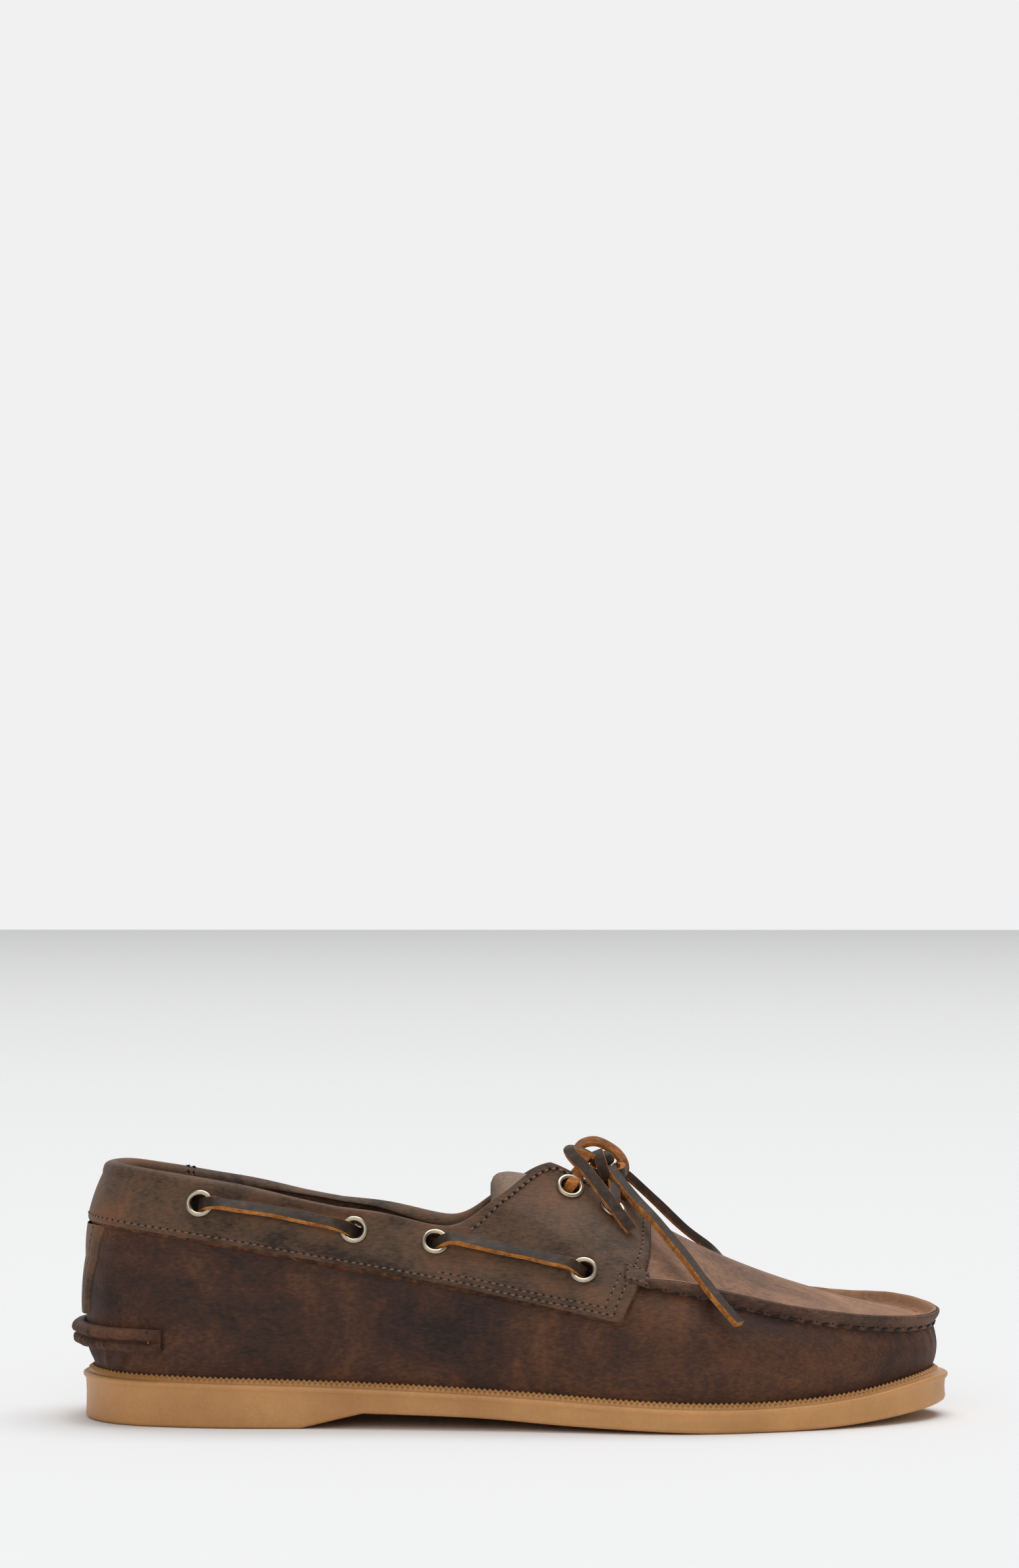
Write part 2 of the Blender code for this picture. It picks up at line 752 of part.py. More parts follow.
def seam_section(turn):
    """Section of the moccasin ridge, standing on the line where wrap and plug meet."""
    point = upper_point(turn, 0.5)
    around = (upper_point(turn + TURN_STEP, 0.5) - upper_point(turn - TURN_STEP, 0.5)).normalized()
    above = upper_point(turn, 0.5 + SEAM_PROBE) - point
    below = point - upper_point(turn, 0.5 - SEAM_PROBE)
    plug_normal = around.cross(above).normalized()
    wall_normal = around.cross(below).normalized()
    up = (plug_normal + wall_normal * SEAM_LEAN).normalized()
    side = around.cross(up).normalized()
    return [
        point + side * across * SEAM_WIDTH + up * (GAP / 2.0 + height * SEAM_HEIGHT)
        for across, height in SEAM_SECTION
    ]


def build_moc_seam(finish):
    """Raised seam from one eyestay round the toe to the other."""
    lateral = shared_turns(SEAM_START, 1.0)
    medial = [-turn for turn in reversed(lateral[:-1])]
    sections = [seam_section(turn) for turn in lateral + medial]
    return loft_sections("moc_seam", sections, finish)


def find_spot(spot):
    """Turn and level of an eyelet that shows at a place in the side view."""
    target = HEEL_MARGIN + spot.along * LAST_LENGTH
    low, high = SPOT_TURNS
    for _ in range(SEARCH_STEPS):
        turn = (low + high) / 2.0
        level = spot_level(turn, spot.rise)
        if upper_point(turn, level).x < target:
            low = turn
        else:
            high = turn
    return turn, level


def spot_level(turn, rise):
    """Level at a share of the upper's height, where the line to the edge first reaches it."""
    low, high = SPOT_LEVELS
    for _ in range(SEARCH_STEPS):
        middle = (low + high) / 2.0
        point = upper_point(turn, middle)
        along = (point.x - HEEL_MARGIN) / LAST_LENGTH
        if point.z - sole_top(point.x) > rise * local_height(along):
            high = middle
        else:
            low = middle
    return high


def eyelet_matrix(turn, level):
    """Place of an eyelet: its axis out of the leather, its zero on the panel's outer face."""
    point, normal, _ = frame_at(turn, level)
    place = FRAME @ (point + normal * (PANEL_GAP + PANEL_THICKNESS))
    return Matrix.Translation(place) @ normal.to_track_quat("Z", "Y").to_matrix().to_4x4()


def build_eyelets(finish):
    """Turned nickel eyelets, six a side, sharing one mesh."""
    hole = EYELET_HOLE / 2.0
    barrel = EYELET_BARREL / 2.0
    flange = EYELET_FLANGE / 2.0
    depth = PANEL_GAP + PANEL_THICKNESS + WALL
    profile = (
        (barrel, -depth),
        (barrel, EYELET_SEAT),
        (flange, EYELET_SEAT),
        (flange - EYELET_RISE / 2.0, EYELET_SEAT + EYELET_RISE),
        (hole + EYELET_RISE / 2.0, EYELET_SEAT + EYELET_RISE),
        (hole, EYELET_SEAT),
        (hole, -depth),
    )
    made = bmesh.new()
    points = [made.verts.new((radius, 0.0, height)) for radius, height in profile]
    edges = [made.edges.new(pair) for pair in zip(points, points[1:] + points[:1])]
    bmesh.ops.spin(
        made, geom=points + edges, cent=(0.0, 0.0, 0.0), axis=(0.0, 0.0, 1.0),
        angle=math.tau, steps=EYELET_SIDES, use_merge=True,
    )
    bmesh.ops.recalc_face_normals(made, faces=made.faces)
    mesh = bpy.data.meshes.new("eyelet")
    made.to_mesh(mesh)
    made.free()
    mesh.materials.append(finish)
    for side, word in ((1.0, "lateral"), (-1.0, "medial")):
        for number, (turn, level) in enumerate(SPOTS, 1):
            eyelet = bpy.data.objects.new("eyelet_%s_%d" % (word, number), mesh)
            eyelet.matrix_world = eyelet_matrix(turn * side, level)
            PARTS.objects.link(eyelet)


def cut_eyelet_holes(pieces):
    """Holes for the eyelets' barrels through the panel and the upper."""
    made = bmesh.new()
    for side in (1.0, -1.0):
        for turn, level in SPOTS:
            bmesh.ops.create_cone(
                made, cap_ends=True, segments=HOLE_SIDES, radius1=HOLE_RADIUS, radius2=HOLE_RADIUS,
                depth=HOLE_DEPTH, matrix=eyelet_matrix(turn * side, level),
            )
    mesh = bpy.data.meshes.new("eyelet_holes")
    made.to_mesh(mesh)
    made.free()
    cutter = bpy.data.objects.new("eyelet_holes", mesh)
    cutter.hide_render = True
    cutter.display_type = "WIRE"
    CUTTERS.objects.link(cutter)
    for piece in pieces:
        cut = piece.modifiers.new("eyelet holes", "BOOLEAN")
        cut.operation = "DIFFERENCE"
        cut.solver = "EXACT"
        cut.object = cutter


def strap(name, path, finish):
    """Flat lace from centres with their directions out of the leather."""
    sections = []
    for number, (point, normal) in enumerate(path):
        before = path[max(number - 1, 0)][0]
        after = path[min(number + 1, len(path) - 1)][0]
        forward = (after - before).normalized()
        side = normal.cross(forward).normalized()
        out = forward.cross(side)
        sections.append([
            point + side * across * LACE_WIDTH + out * height * LACE_THICKNESS
            for across, height in LACE_SECTION
        ])
    return loft_sections(name, sections, finish)


def build_collar_laces(finish):
    """Lace along the collar: from eyelet 1 to 2 and from 3 to 4 on each side."""
    clear = PANEL_GAP + PANEL_THICKNESS + GAP + LACE_THICKNESS / 2.0
    for side, word in ((1.0, "lateral"), (-1.0, "medial")):
        for first, last, place in ((0, 1, "rear"), (2, 3, "front")):
            start, end = EYELETS[first], EYELETS[last]
            path = []
            for step in range(LACE_STEPS + 1):
                way = step / LACE_STEPS
                along = start.along + (end.along - start.along) * way
                bow = LACE_BOW * math.sin(math.pi * way)
                rise = start.rise + (end.rise - start.rise) * way + bow
                turn, level = find_spot(EyeletSpot(along, rise))
                point, normal, _ = frame_at(turn * side, level)
                lift = LACE_END_LIFT * min(1.0, (2.0 * abs(way - 0.5) / LACE_LIFT_SHARE) ** 4)
                path.append((point + normal * (clear + lift), normal))
            strap("lace_bar_%s_%s" % (word, place), path, finish)


def knot_centre():
    x = HEEL_MARGIN + KNOT_ALONG * LAST_LENGTH
    return Vector((x, 0.0, sole_top(x) + KNOT_RISE * INSTEP_HEIGHT))


def from_knot(route):
    centre = knot_centre()
    return [centre + Vector(offset) for offset in route]


def cord_points(route):
    """Evenly spaced points on a smooth curve through a route."""
    knots = [Vector(point) for point in route]
    fine = []
    for index in range(len(knots) - 1):
        around = [knots[max(index - 1, 0)], knots[index], knots[index + 1],
                  knots[min(index + 2, len(knots) - 1)]]
        for step in range(CORD_FINE):
            fine.append(hermite(*around, step / CORD_FINE))
    fine.append(knots[-1])
    length = sum((b - a).length for a, b in zip(fine, fine[1:]))
    spacing = length / max(round(length / CORD_STEP), 2)
    points = [fine[0]]
    walked = 0.0
    for before, after in zip(fine, fine[1:]):
        walked += (after - before).length
        if walked >= spacing * len(points) - MERGE:
            points.append(after)
    points[-1] = fine[-1]
    return points


def tube(name, route, finish):
    """Round cord on a smooth route, its ends closed."""
    points = cord_points(route)
    path = bpy.data.curves.new(name, "CURVE")
    path.dimensions = "3D"
    path.bevel_depth = LACE_CORD / 2.0
    path.bevel_resolution = 2
    path.use_fill_caps = True
    line = path.splines.new("POLY")
    line.points.add(len(points) - 1)
    for place, point in zip(line.points, points):
        place.co = (*(FRAME @ point), 1.0)
    path.materials.append(finish)
    cord = bpy.data.objects.new(name, path)
    PARTS.objects.link(cord)
    return cord


def build_lace_crossing(finish):
    """Lace between the top eyelets, joined under the knot."""
    pieces = []
    knot = knot_centre()
    clear = PANEL_GAP + PANEL_THICKNESS + GAP * 2.0 + EYELET_SEAT + EYELET_RISE + LACE_CORD / 2.0
    for number in (4, 5):
        ends = []
        for side in (1.0, -1.0):
            point, normal, _ = frame_at(SPOTS[number][0] * side, SPOTS[number][1])
            ends.append((point + normal * clear, point + normal * (clear + CROSSING_LIFT)))
        middle = knot - Vector((0.0, 0.0, KNOT_SIZE[2] / 2.0 + GAP + LACE_CORD / 2.0))
        route = (ends[0][0], ends[0][1].lerp(middle, 0.4), middle, ends[1][1].lerp(middle, 0.4), ends[1][0])
        cord = tube("lace_crossing_%d" % number, route, finish)
        pieces.append(mesh_of(cord))
    joined, other = pieces
    joined.name = "lace_crossing"
    union = joined.modifiers.new("join", "BOOLEAN")
    union.operation = "UNION"
    union.solver = "EXACT"
    union.object = other
    other.hide_render = True
    other.display_type = "WIRE"
    PARTS.objects.unlink(other)
    CUTTERS.objects.link(other)


def mesh_of(cord):
    """Mesh object in place of a curve, its caps welded."""
    seen = bpy.context.evaluated_depsgraph_get()
    seen.update()
    mesh = bpy.data.meshes.new_from_object(cord.evaluated_get(seen))
    made = bmesh.new()
    made.from_mesh(mesh)
    bmesh.ops.remove_doubles(made, verts=made.verts, dist=MERGE)
    made.to_mesh(mesh)
    made.free()
    solid = bpy.data.objects.new(cord.name, mesh)
    solid.matrix_world = cord.matrix_world
    PARTS.objects.link(solid)
    bpy.data.objects.remove(cord, do_unlink=True)
    return solid


def build_knot(finish):
    """The tied knot as one rounded lump; its strands lie on this form."""
    made = bmesh.new()
    shape = Matrix.Translation(knot_centre()) @ Matrix.Diagonal((*KNOT_SIZE, 1.0))
    bmesh.ops.create_uvsphere(made, u_segments=12, v_segments=7, radius=0.5, matrix=shape)
    mesh = bpy.data.meshes.new("lace_knot")
    made.to_mesh(mesh)
    made.free()
    return add_object(mesh, finish)


def frame_shift():
    """Puts the origin under the middle of the shoe's length and width."""
    sides = [outline_point(turn, margin(turn)).y for turn in turns()]
    toe = HEEL_MARGIN + LAST_LENGTH + TOE_MARGIN
    heel = min(point.x for point in heel_roll_section(0.0))
    centre = Vector(((toe + heel) / 2.0, (max(sides) + min(sides)) / 2.0, 0.0))
    return Matrix.Translation(-centre)


clear_scene()
FRAME = frame_shift()
PARTS = new_collection("boat_shoe")
CUTTERS = new_collection("cutters")
SPOTS = [find_spot(spot) for spot in EYELETS]

LEATHER = material("oiled_brown_leather", (0.075, 0.040, 0.024), 0.55)
PANEL_LEATHER = material("panel_leather", (0.060, 0.032, 0.020), 0.5)
TONGUE_LEATHER = material("tongue_leather", (0.10, 0.055, 0.033), 0.7)
RUBBER = material("gum_rubber", (0.45, 0.20, 0.075), 0.6)
SOCK = material("tan_sock_leather", (0.30, 0.16, 0.08), 0.6)
NICKEL = material("nickel_plate", (0.62, 0.58, 0.52), 0.3, 1.0)
RAWHIDE = material("rawhide_lace", (0.085, 0.042, 0.022), 0.6)

build_outsole(RUBBER)
build_insole(SOCK)
UPPER = build_upper(LEATHER)
build_tongue(TONGUE_LEATHER)
PANEL = build_side_panel(PANEL_LEATHER)
build_backstay(PANEL_LEATHER)
build_heel_roll(LEATHER)
build_moc_seam(LEATHER)
build_eyelets(NICKEL)
cut_eyelet_holes((UPPER, PANEL))
build_collar_laces(RAWHIDE)
build_lace_crossing(RAWHIDE)
build_knot(RAWHIDE)
tube("lace_end_lateral", from_knot(NEAR_END_ROUTE), RAWHIDE)
tube("lace_end_medial", from_knot(FAR_END_ROUTE), RAWHIDE)
tube("lace_end_short", from_knot(SHORT_END_ROUTE), RAWHIDE)
tube("lace_loop", from_knot(LOOP_ROUTE), RAWHIDE)
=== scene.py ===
"""Boat shoe for the right foot, dressed on its CAD frame.

Metres, +Z up, toe towards +X, lateral side towards -Y, standing on z = 0.
"""
import math
from collections import namedtuple
from functools import lru_cache

import bmesh
import bpy
from mathutils import Matrix, Vector


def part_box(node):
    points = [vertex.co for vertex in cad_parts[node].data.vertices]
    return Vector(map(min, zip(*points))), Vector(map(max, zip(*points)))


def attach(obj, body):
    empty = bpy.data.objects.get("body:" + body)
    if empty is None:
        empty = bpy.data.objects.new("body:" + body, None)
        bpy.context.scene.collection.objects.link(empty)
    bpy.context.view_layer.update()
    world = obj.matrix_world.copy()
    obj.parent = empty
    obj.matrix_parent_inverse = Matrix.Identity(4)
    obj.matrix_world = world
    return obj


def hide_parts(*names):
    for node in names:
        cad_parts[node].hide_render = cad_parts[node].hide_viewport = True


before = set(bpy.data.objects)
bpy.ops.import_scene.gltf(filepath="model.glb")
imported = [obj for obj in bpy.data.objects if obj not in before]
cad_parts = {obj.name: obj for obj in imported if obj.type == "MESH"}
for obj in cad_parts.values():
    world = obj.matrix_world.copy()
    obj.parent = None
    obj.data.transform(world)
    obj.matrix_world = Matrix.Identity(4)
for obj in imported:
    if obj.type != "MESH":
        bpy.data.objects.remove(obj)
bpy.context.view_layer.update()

# %% [markdown]
# The shoe's sizes are those of its solids: a last 286 mm long, a welt of rubber round it,
# two millimetre leather. The upper is drawn by five rings that run from the heel round the
# toe: feather line, widest line of the wall, moccasin seam, crown and opening edge. They
# could have been read off the solids, but then every fold would inherit their flat faces.

# %% Sizes

# The last
LAST_LENGTH = 0.2862
BALL_WIDTH = 0.098
BACK_HEIGHT = 0.070
INSTEP_HEIGHT = 0.076
TOE_HEIGHT = 0.020

# The sole
HEEL_MARGIN = 0.0042
SIDE_MARGIN = 0.0050
TOE_MARGIN = 0.0056
SOLE_TOP = 0.017
TOE_SPRING = 0.0055
BREAST_HEIGHT = 0.0051
HEEL_BLOCK = 0.076
BREAST_SLOPE = 0.021
LIP_DROP = 0.0018
LIP_WIDTH = 0.0012
LIP_STEP = 0.0009
SOLE_BEVEL = 0.0012

# Leather
WALL = 0.0020
GAP = 0.0003
INSOLE_THICKNESS = 0.0030
TONGUE_THICKNESS = 0.0022
TONGUE_WIDTH = 0.044
PANEL_THICKNESS = 0.0014
PANEL_GAP = 0.0005
BACKSTAY_THICKNESS = 0.0012

# Raised seams
COLLAR_ROLL_HEIGHT = 0.0036
COLLAR_ROLL_REACH = 0.0028
HEEL_ROLL_HEIGHT = 0.0078
HEEL_ROLL_THICKNESS = 0.0046
HEEL_ROLL_END = 0.200
SEAM_HEIGHT = 0.0036
SEAM_WIDTH = 0.0027
SEAM_START = 0.618
SEAM_LEAN = 0.5

# Fineness of the work
TURN_STEP = 0.004
HALVINGS = 24
WELD = 0.00002
UPPER_COLUMNS = 560
SOLE_COLUMNS = 720

# Eyelets and laces
EYELET_HOLE = 0.0060
EYELET_FLANGE = 0.0095
EYELET_RISE = 0.0008
EYELET_SEAT = 0.0006
LACE_WIDTH = 0.0036
LACE_THICKNESS = 0.0018

# One row for each 180 / (rows - 1) degrees of the way from heel to toe.
# along: share of LAST_LENGTH from the heel. half, centre and tilt: shares of BALL_WIDTH.
# rise: share of the upper's local height above the sole.
Row = namedtuple("Row", "along half centre rise tilt")

FEATHER_RING = (
    Row(0.000, 0.000, 0.000, 0.000, 0.000),
    Row(0.038, 0.242, 0.000, 0.000, 0.000),
    Row(0.146, 0.345, -0.003, 0.000, 0.000),
    Row(0.309, 0.332, -0.026, 0.000, 0.000),
    Row(0.500, 0.378, -0.041, 0.000, 0.000),
    Row(0.691, 0.493, -0.015, 0.000, 0.000),
    Row(0.854, 0.408, 0.031, 0.000, 0.000),
    Row(0.962, 0.219, 0.061, 0.000, 0.000),
    Row(1.000, 0.000, 0.066, 0.000, 0.000),
)
WALL_RING = (
    Row(-0.010, 0.000, 0.000, 0.243, 0.000),
    Row(0.024, 0.270, 0.000, 0.238, 0.000),
    Row(0.143, 0.378, -0.003, 0.227, 0.000),
    Row(0.307, 0.362, -0.026, 0.217, 0.000),
    Row(0.501, 0.403, -0.036, 0.207, 0.000),
    Row(0.695, 0.520, -0.015, 0.270, 0.000),
    Row(0.861, 0.434, 0.033, 0.344, 0.000),
    Row(0.969, 0.238, 0.061, 0.417, 0.000),
    Row(1.006, 0.000, 0.066, 0.465, 0.000),
)
SEAM_RING = (
    Row(-0.006, 0.000, 0.000, 0.543, 0.000),
    Row(0.029, 0.253, 0.000, 0.546, 0.000),
    Row(0.146, 0.355, -0.003, 0.542, 0.000),
    Row(0.310, 0.355, -0.020, 0.502, 0.000),
    Row(0.495, 0.386, -0.031, 0.459, 0.000),
    Row(0.663, 0.413, -0.010, 0.625, 0.000),
    Row(0.845, 0.362, 0.031, 0.688, 0.004),
    Row(0.958, 0.209, 0.059, 0.781, 0.018),
    Row(0.999, 0.000, 0.066, 0.812, 0.000),
)
CROWN_RING = (
    Row(-0.001, 0.000, 0.000, 0.757, 0.000),
    Row(0.032, 0.238, 0.000, 0.760, 0.000),
    Row(0.146, 0.324, 0.000, 0.738, 0.000),
    Row(0.314, 0.330, -0.010, 0.654, 0.000),
    Row(0.464, 0.345, -0.010, 0.592, 0.000),
    Row(0.593, 0.286, 0.000, 0.796, 0.000),
    Row(0.726, 0.219, 0.015, 0.828, 0.000),
    Row(0.806, 0.107, 0.031, 0.864, 0.003),
    Row(0.824, 0.000, 0.036, 0.893, 0.000),
)
EDGE_RING = (
    Row(0.017, 0.000, 0.000, 0.955, 0.000),
    Row(0.036, 0.148, 0.000, 0.954, 0.000),
    Row(0.080, 0.238, 0.000, 0.930, -0.004),
    Row(0.150, 0.282, 0.000, 0.886, -0.007),
    Row(0.237, 0.299, 0.000, 0.840, -0.007),
    Row(0.338, 0.304, 0.000, 0.775, -0.004),
    Row(0.429, 0.291, 0.000, 0.696, -0.002),
    Row(0.483, 0.243, 0.000, 0.836, -0.001),
    Row(0.534, 0.158, 0.000, 0.974, 0.000),
    Row(0.583, 0.133, 0.000, 0.984, 0.000),
    Row(0.618, 0.130, 0.000, 0.974, 0.000),
    Row(0.646, 0.100, 0.000, 0.942, 0.000),
    Row(0.660, 0.000, 0.000, 0.880, 0.000),
)
RINGS = (FEATHER_RING, WALL_RING, SEAM_RING, CROWN_RING, EDGE_RING)
SIDES = (("lateral", 1.0), ("medial", -1.0))
# The medial eyestay is a little lower than the lateral one, so it stays hidden behind it.
MEDIAL_EYESTAY_DROP = 0.0024
MEDIAL_EYESTAY_ALONG = 0.555
MEDIAL_EYESTAY_REACH = 0.085

# Lengthwise profiles: share of LAST_LENGTH from the heel, share of the named height.
Knot = namedtuple("Knot", "along height")
SOLE_TOP_PROFILE = (
    Knot(0.00, 1.00),
    Knot(0.22, 0.92),
    Knot(0.45, 0.78),
    Knot(0.63, 0.61),
    Knot(0.74, 0.54),
    Knot(0.83, 0.56),
    Knot(0.91, 0.68),
    Knot(1.00, 0.95),
)
ARCH_PROFILE = (
    Knot(0.00, 1.00),
    Knot(0.33, 0.80),
    Knot(0.57, 0.43),
    Knot(0.79, 0.20),
    Knot(1.00, 0.00),
)
# The side panel's lower edge (along, share of BACK_HEIGHT above the sole) and, for rising
# shares of BACK_HEIGHT, how far along its front edge stands.
PANEL_LOWER_EDGE = (
    Knot(0.00, 0.708),
    Knot(0.06, 0.684),
    Knot(0.17, 0.626),
    Knot(0.27, 0.563),
    Knot(0.37, 0.507),
    Knot(0.50, 0.430),
    Knot(0.63, 0.358),
)
FrontKnot = namedtuple("FrontKnot", "rise along")
PANEL_FRONT_EDGE = (
    FrontKnot(0.300, 0.621),
    FrontKnot(0.361, 0.627),
    FrontKnot(0.573, 0.652),
    FrontKnot(0.661, 0.660),
    FrontKnot(0.776, 0.662),
)
PANEL_END = 0.905
ROLL_FADE_START = 0.43
ROLL_FADE_END = 0.50

# The backstay: share of BACK_HEIGHT above the sole, half width as a turn.
StayRow = namedtuple("StayRow", "rise half")
BACKSTAY_ROWS = (
    StayRow(0.305, 0.066),
    StayRow(0.500, 0.078),
    StayRow(0.670, 0.104),
)
HEEL_ROLL_RISE = 0.183

# Sections in shares of the named width and height: across the wall, along it.
ROLL_SECTION = (
    (0.90, -0.05),
    (0.92, 0.50),
    (0.30, 1.00),
    (-0.60, 0.92),
    (-1.06, 0.50),
    (-0.90, 0.28),
)
FLAT_SECTION = (
    (1.00, 0.01),
    (0.98, 0.08),
    (0.85, 0.15),
    (0.50, 0.15),
    (0.34, 0.13),
    (0.27, 0.11),
)
HEEL_ROLL_SECTION = (
    (0.10, -0.47),
    (0.62, -0.50),
    (1.00, -0.32),
    (0.96, -0.12),
    (0.66, 0.00),
    (0.96, 0.12),
    (1.00, 0.32),
    (0.62, 0.50),
    (0.10, 0.47),
)
# Where each eyelet shows from the side: share of LAST_LENGTH, share of BACK_HEIGHT above the sole.
Spot = namedtuple("Spot", "along rise")
EYELETS = (
    Spot(0.132, 0.826),
    Spot(0.313, 0.726),
    Spot(0.408, 0.676),
    Spot(0.583, 0.590),
    Spot(0.565, 0.958),
    Spot(0.614, 0.862),
)

KNOT_CENTRE = (0.1780, 0.0, 0.0878)
KNOT_CORE = (0.0074, 0.0066, 0.0056)

# Where the arch ends, the toe begins to spring and the upper's height changes, from the heel.
ARCH_END = 0.213
SPRING_START = 0.235
INSTEP_ALONG = 0.54
BACK_ALONG = 0.30

# The tongue: share of the way from its front end to its top, shares of INSTEP_HEIGHT and TONGUE_WIDTH.
TongueRow = namedtuple("TongueRow", "way crest drop width")
TONGUE_FRONT = 0.197
TONGUE_TOP = 0.1393
TONGUE_ROWS = (
    TongueRow(0.00, 0.652, 0.050, 0.80),
    TongueRow(0.18, 0.714, 0.080, 0.90),
    TongueRow(0.40, 0.800, 0.120, 1.00),
    TongueRow(0.65, 0.900, 0.160, 1.00),
    TongueRow(0.88, 0.932, 0.150, 0.98),
    TongueRow(1.00, 0.915, 0.110, 0.72),
)

# How far a lace bar bows up, as a share of BACK_HEIGHT.
LACE_BOW = 0.015

# Folds: place, run and width as shares of LAST_LENGTH (rise of BACK_HEIGHT), lean in
# degrees, size as a share of WALL; side 1 lateral, -1 medial, 0 both.
Mark = namedtuple("Mark", "side along rise run width lean size")
FOLDS = (
    Mark(0, 0.640, 0.36, 0.020, 0.055, 20.0, -0.35),
    Mark(0, 0.520, 0.26, 0.050, 0.030, 25.0, 0.22),
    Mark(1, 0.600, 0.20, 0.045, 0.016, 35.0, -0.25),
    Mark(0, 0.300, 0.34, 0.060, 0.030, -20.0, -0.20),
    Mark(0, 0.180, 0.30, 0.030, 0.040, 0.0, 0.25),
    Mark(0, 0.480, 0.72, 0.016, 0.030, 60.0, -0.25),
    Mark(0, 0.560, 0.72, 0.035, 0.025, 10.0, 0.25),
)
# Rubs and dark patches of the pull-up leather: size above 0 light, below 0 dark.
RUBS = (
    Mark(0, 0.020, 0.84, 0.060, 0.040, 0.0, 0.10),
    Mark(1, 0.110, 0.55, 0.030, 0.020, 20.0, 0.05),
    Mark(0, 0.030, 0.21, 0.060, 0.022, 0.0, 0.24),
    Mark(0, 0.050, 0.04, 0.060, 0.012, 0.0, 0.10),
    Mark(1, 0.190, 0.30, 0.060, 0.022, 8.0, -0.05),
    Mark(1, 0.395, 0.26, 0.080, 0.034, 0.0, -0.13),
    Mark(-1, 0.420, 0.24, 0.070, 0.030, 0.0, -0.10),
    Mark(1, 0.560, 0.16, 0.040, 0.018, 12.0, 0.05),
    Mark(0, 0.720, 0.32, 0.090, 0.045, -8.0, 0.07),
    Mark(1, 0.850, 0.20, 0.050, 0.020, -6.0, 0.05),
    Mark(0, 0.975, 0.22, 0.040, 0.040, 0.0, 0.10),
    Mark(1, 0.250, 0.74, 0.060, 0.012, -12.0, 0.07),
    Mark(1, 0.365, 0.52, 0.060, 0.007, -12.0, 0.08),
    Mark(1, 0.550, 0.92, 0.016, 0.014, 30.0, 0.13),
    Mark(1, 0.600, 0.50, 0.026, 0.009, -14.0, 0.10),
    Mark(1, 0.500, 0.62, 0.030, 0.024, 20.0, -0.09),
    Mark(1, 0.330, 0.58, 0.110, 0.009, -13.0, -0.16),
    Mark(1, 0.540, 0.46, 0.050, 0.010, -12.0, -0.12),
    Mark(0, 0.735, 0.66, 0.030, 0.030, 0.0, -0.12),
    Mark(0, 0.860, 0.50, 0.050, 0.060, 0.0, 0.05),
    Mark(1, 0.455, 0.66, 0.018, 0.010, -30.0, 0.08),
    Mark(-1, 0.550, 0.70, 0.040, 0.030, 0.0, 0.07),
)


# %% The upper's surface


def shares(count):
    """Even shares from 0 to 1."""
    return [number / count for number in range(count + 1)]


def turns(count, end=1.0):
    """Even turns from -end to end."""
    return [(share * 2.0 - 1.0) * end for share in shares(count)]


def hermite(before, start, end, after, share):
    """Catmull-Rom value between two evenly spaced knots."""
    slope_in = (end - before) / 2.0
    slope_out = (after - start) / 2.0
    square = share * share
    cube = square * share
    return (
        start * (2.0 * cube - 3.0 * square + 1.0)
        + slope_in * (cube - 2.0 * square + share)
        + end * (3.0 * square - 2.0 * cube)
        + slope_out * (cube - square)
    )


def ring_value(rows, column, turn):
    """Column at a turn of -1 to 1; half and tilt change sign across the centre line."""
    mirrored = -1.0 if column in ("half", "tilt") else 1.0
    last = len(rows) - 1
    place = abs(turn) * last
    index = min(int(place), last - 1)

    def knot(number):
        value = getattr(rows[last - abs(last - abs(number))], column)
        return value * mirrored if number < 0 or number > last else value

    value = hermite(knot(index - 1), knot(index), knot(index + 1), knot(index + 2), place - index)
    return value * mirrored if turn < 0.0 else value


def four_round(rows, index):
    """The row before an index, its own, the next and the one after, held at the ends."""
    return [rows[min(max(index + step, 0), len(rows) - 1)] for step in (-1, 0, 1, 2)]


def walk(points):
    """Way walked along a line at each of its points."""
    walked = [0.0]
    for before, after in zip(points, points[1:]):
        walked.append(walked[-1] + (after - before).length)
    return walked


def middles(length, count):
    """Middles of a number of even parts of a length."""
    return [length * (number + 0.5) / count for number in range(count)]


def even_places(walked, wanted):
    """For each wanted way along a line: the point before it and the share on to the next."""
    index = 0
    for target in wanted:
        while index < len(walked) - 2 and walked[index + 1] < target:
            index += 1
        span = max(walked[index + 1] - walked[index], WELD)
        yield index, (target - walked[index]) / span


def profile_value(knots, along):
    """Smooth height between unevenly spaced knots, flat beyond them."""
    if along <= knots[0][0]:
        return knots[0][1]
    if along >= knots[-1][0]:
        return knots[-1][1]
    slopes = []
    for number in range(len(knots)):
        low = knots[max(number - 1, 0)]
        high = knots[min(number + 1, len(knots) - 1)]
        slopes.append((high[1] - low[1]) / (high[0] - low[0]))
    index = max(number for number, knot in enumerate(knots[:-1]) if knot[0] <= along)
    span = knots[index + 1][0] - knots[index][0]
    share = (along - knots[index][0]) / span
    square = share * share
    cube = square * share
    return (
        knots[index][1] * (2.0 * cube - 3.0 * square + 1.0)
        + slopes[index] * span * (cube - 2.0 * square + share)
        + knots[index + 1][1] * (3.0 * square - 2.0 * cube)
        + slopes[index + 1] * span * (cube - square)
    )


def sole_top(x):
    return SOLE_TOP * profile_value(SOLE_TOP_PROFILE, (x - HEEL_MARGIN) / LAST_LENGTH)


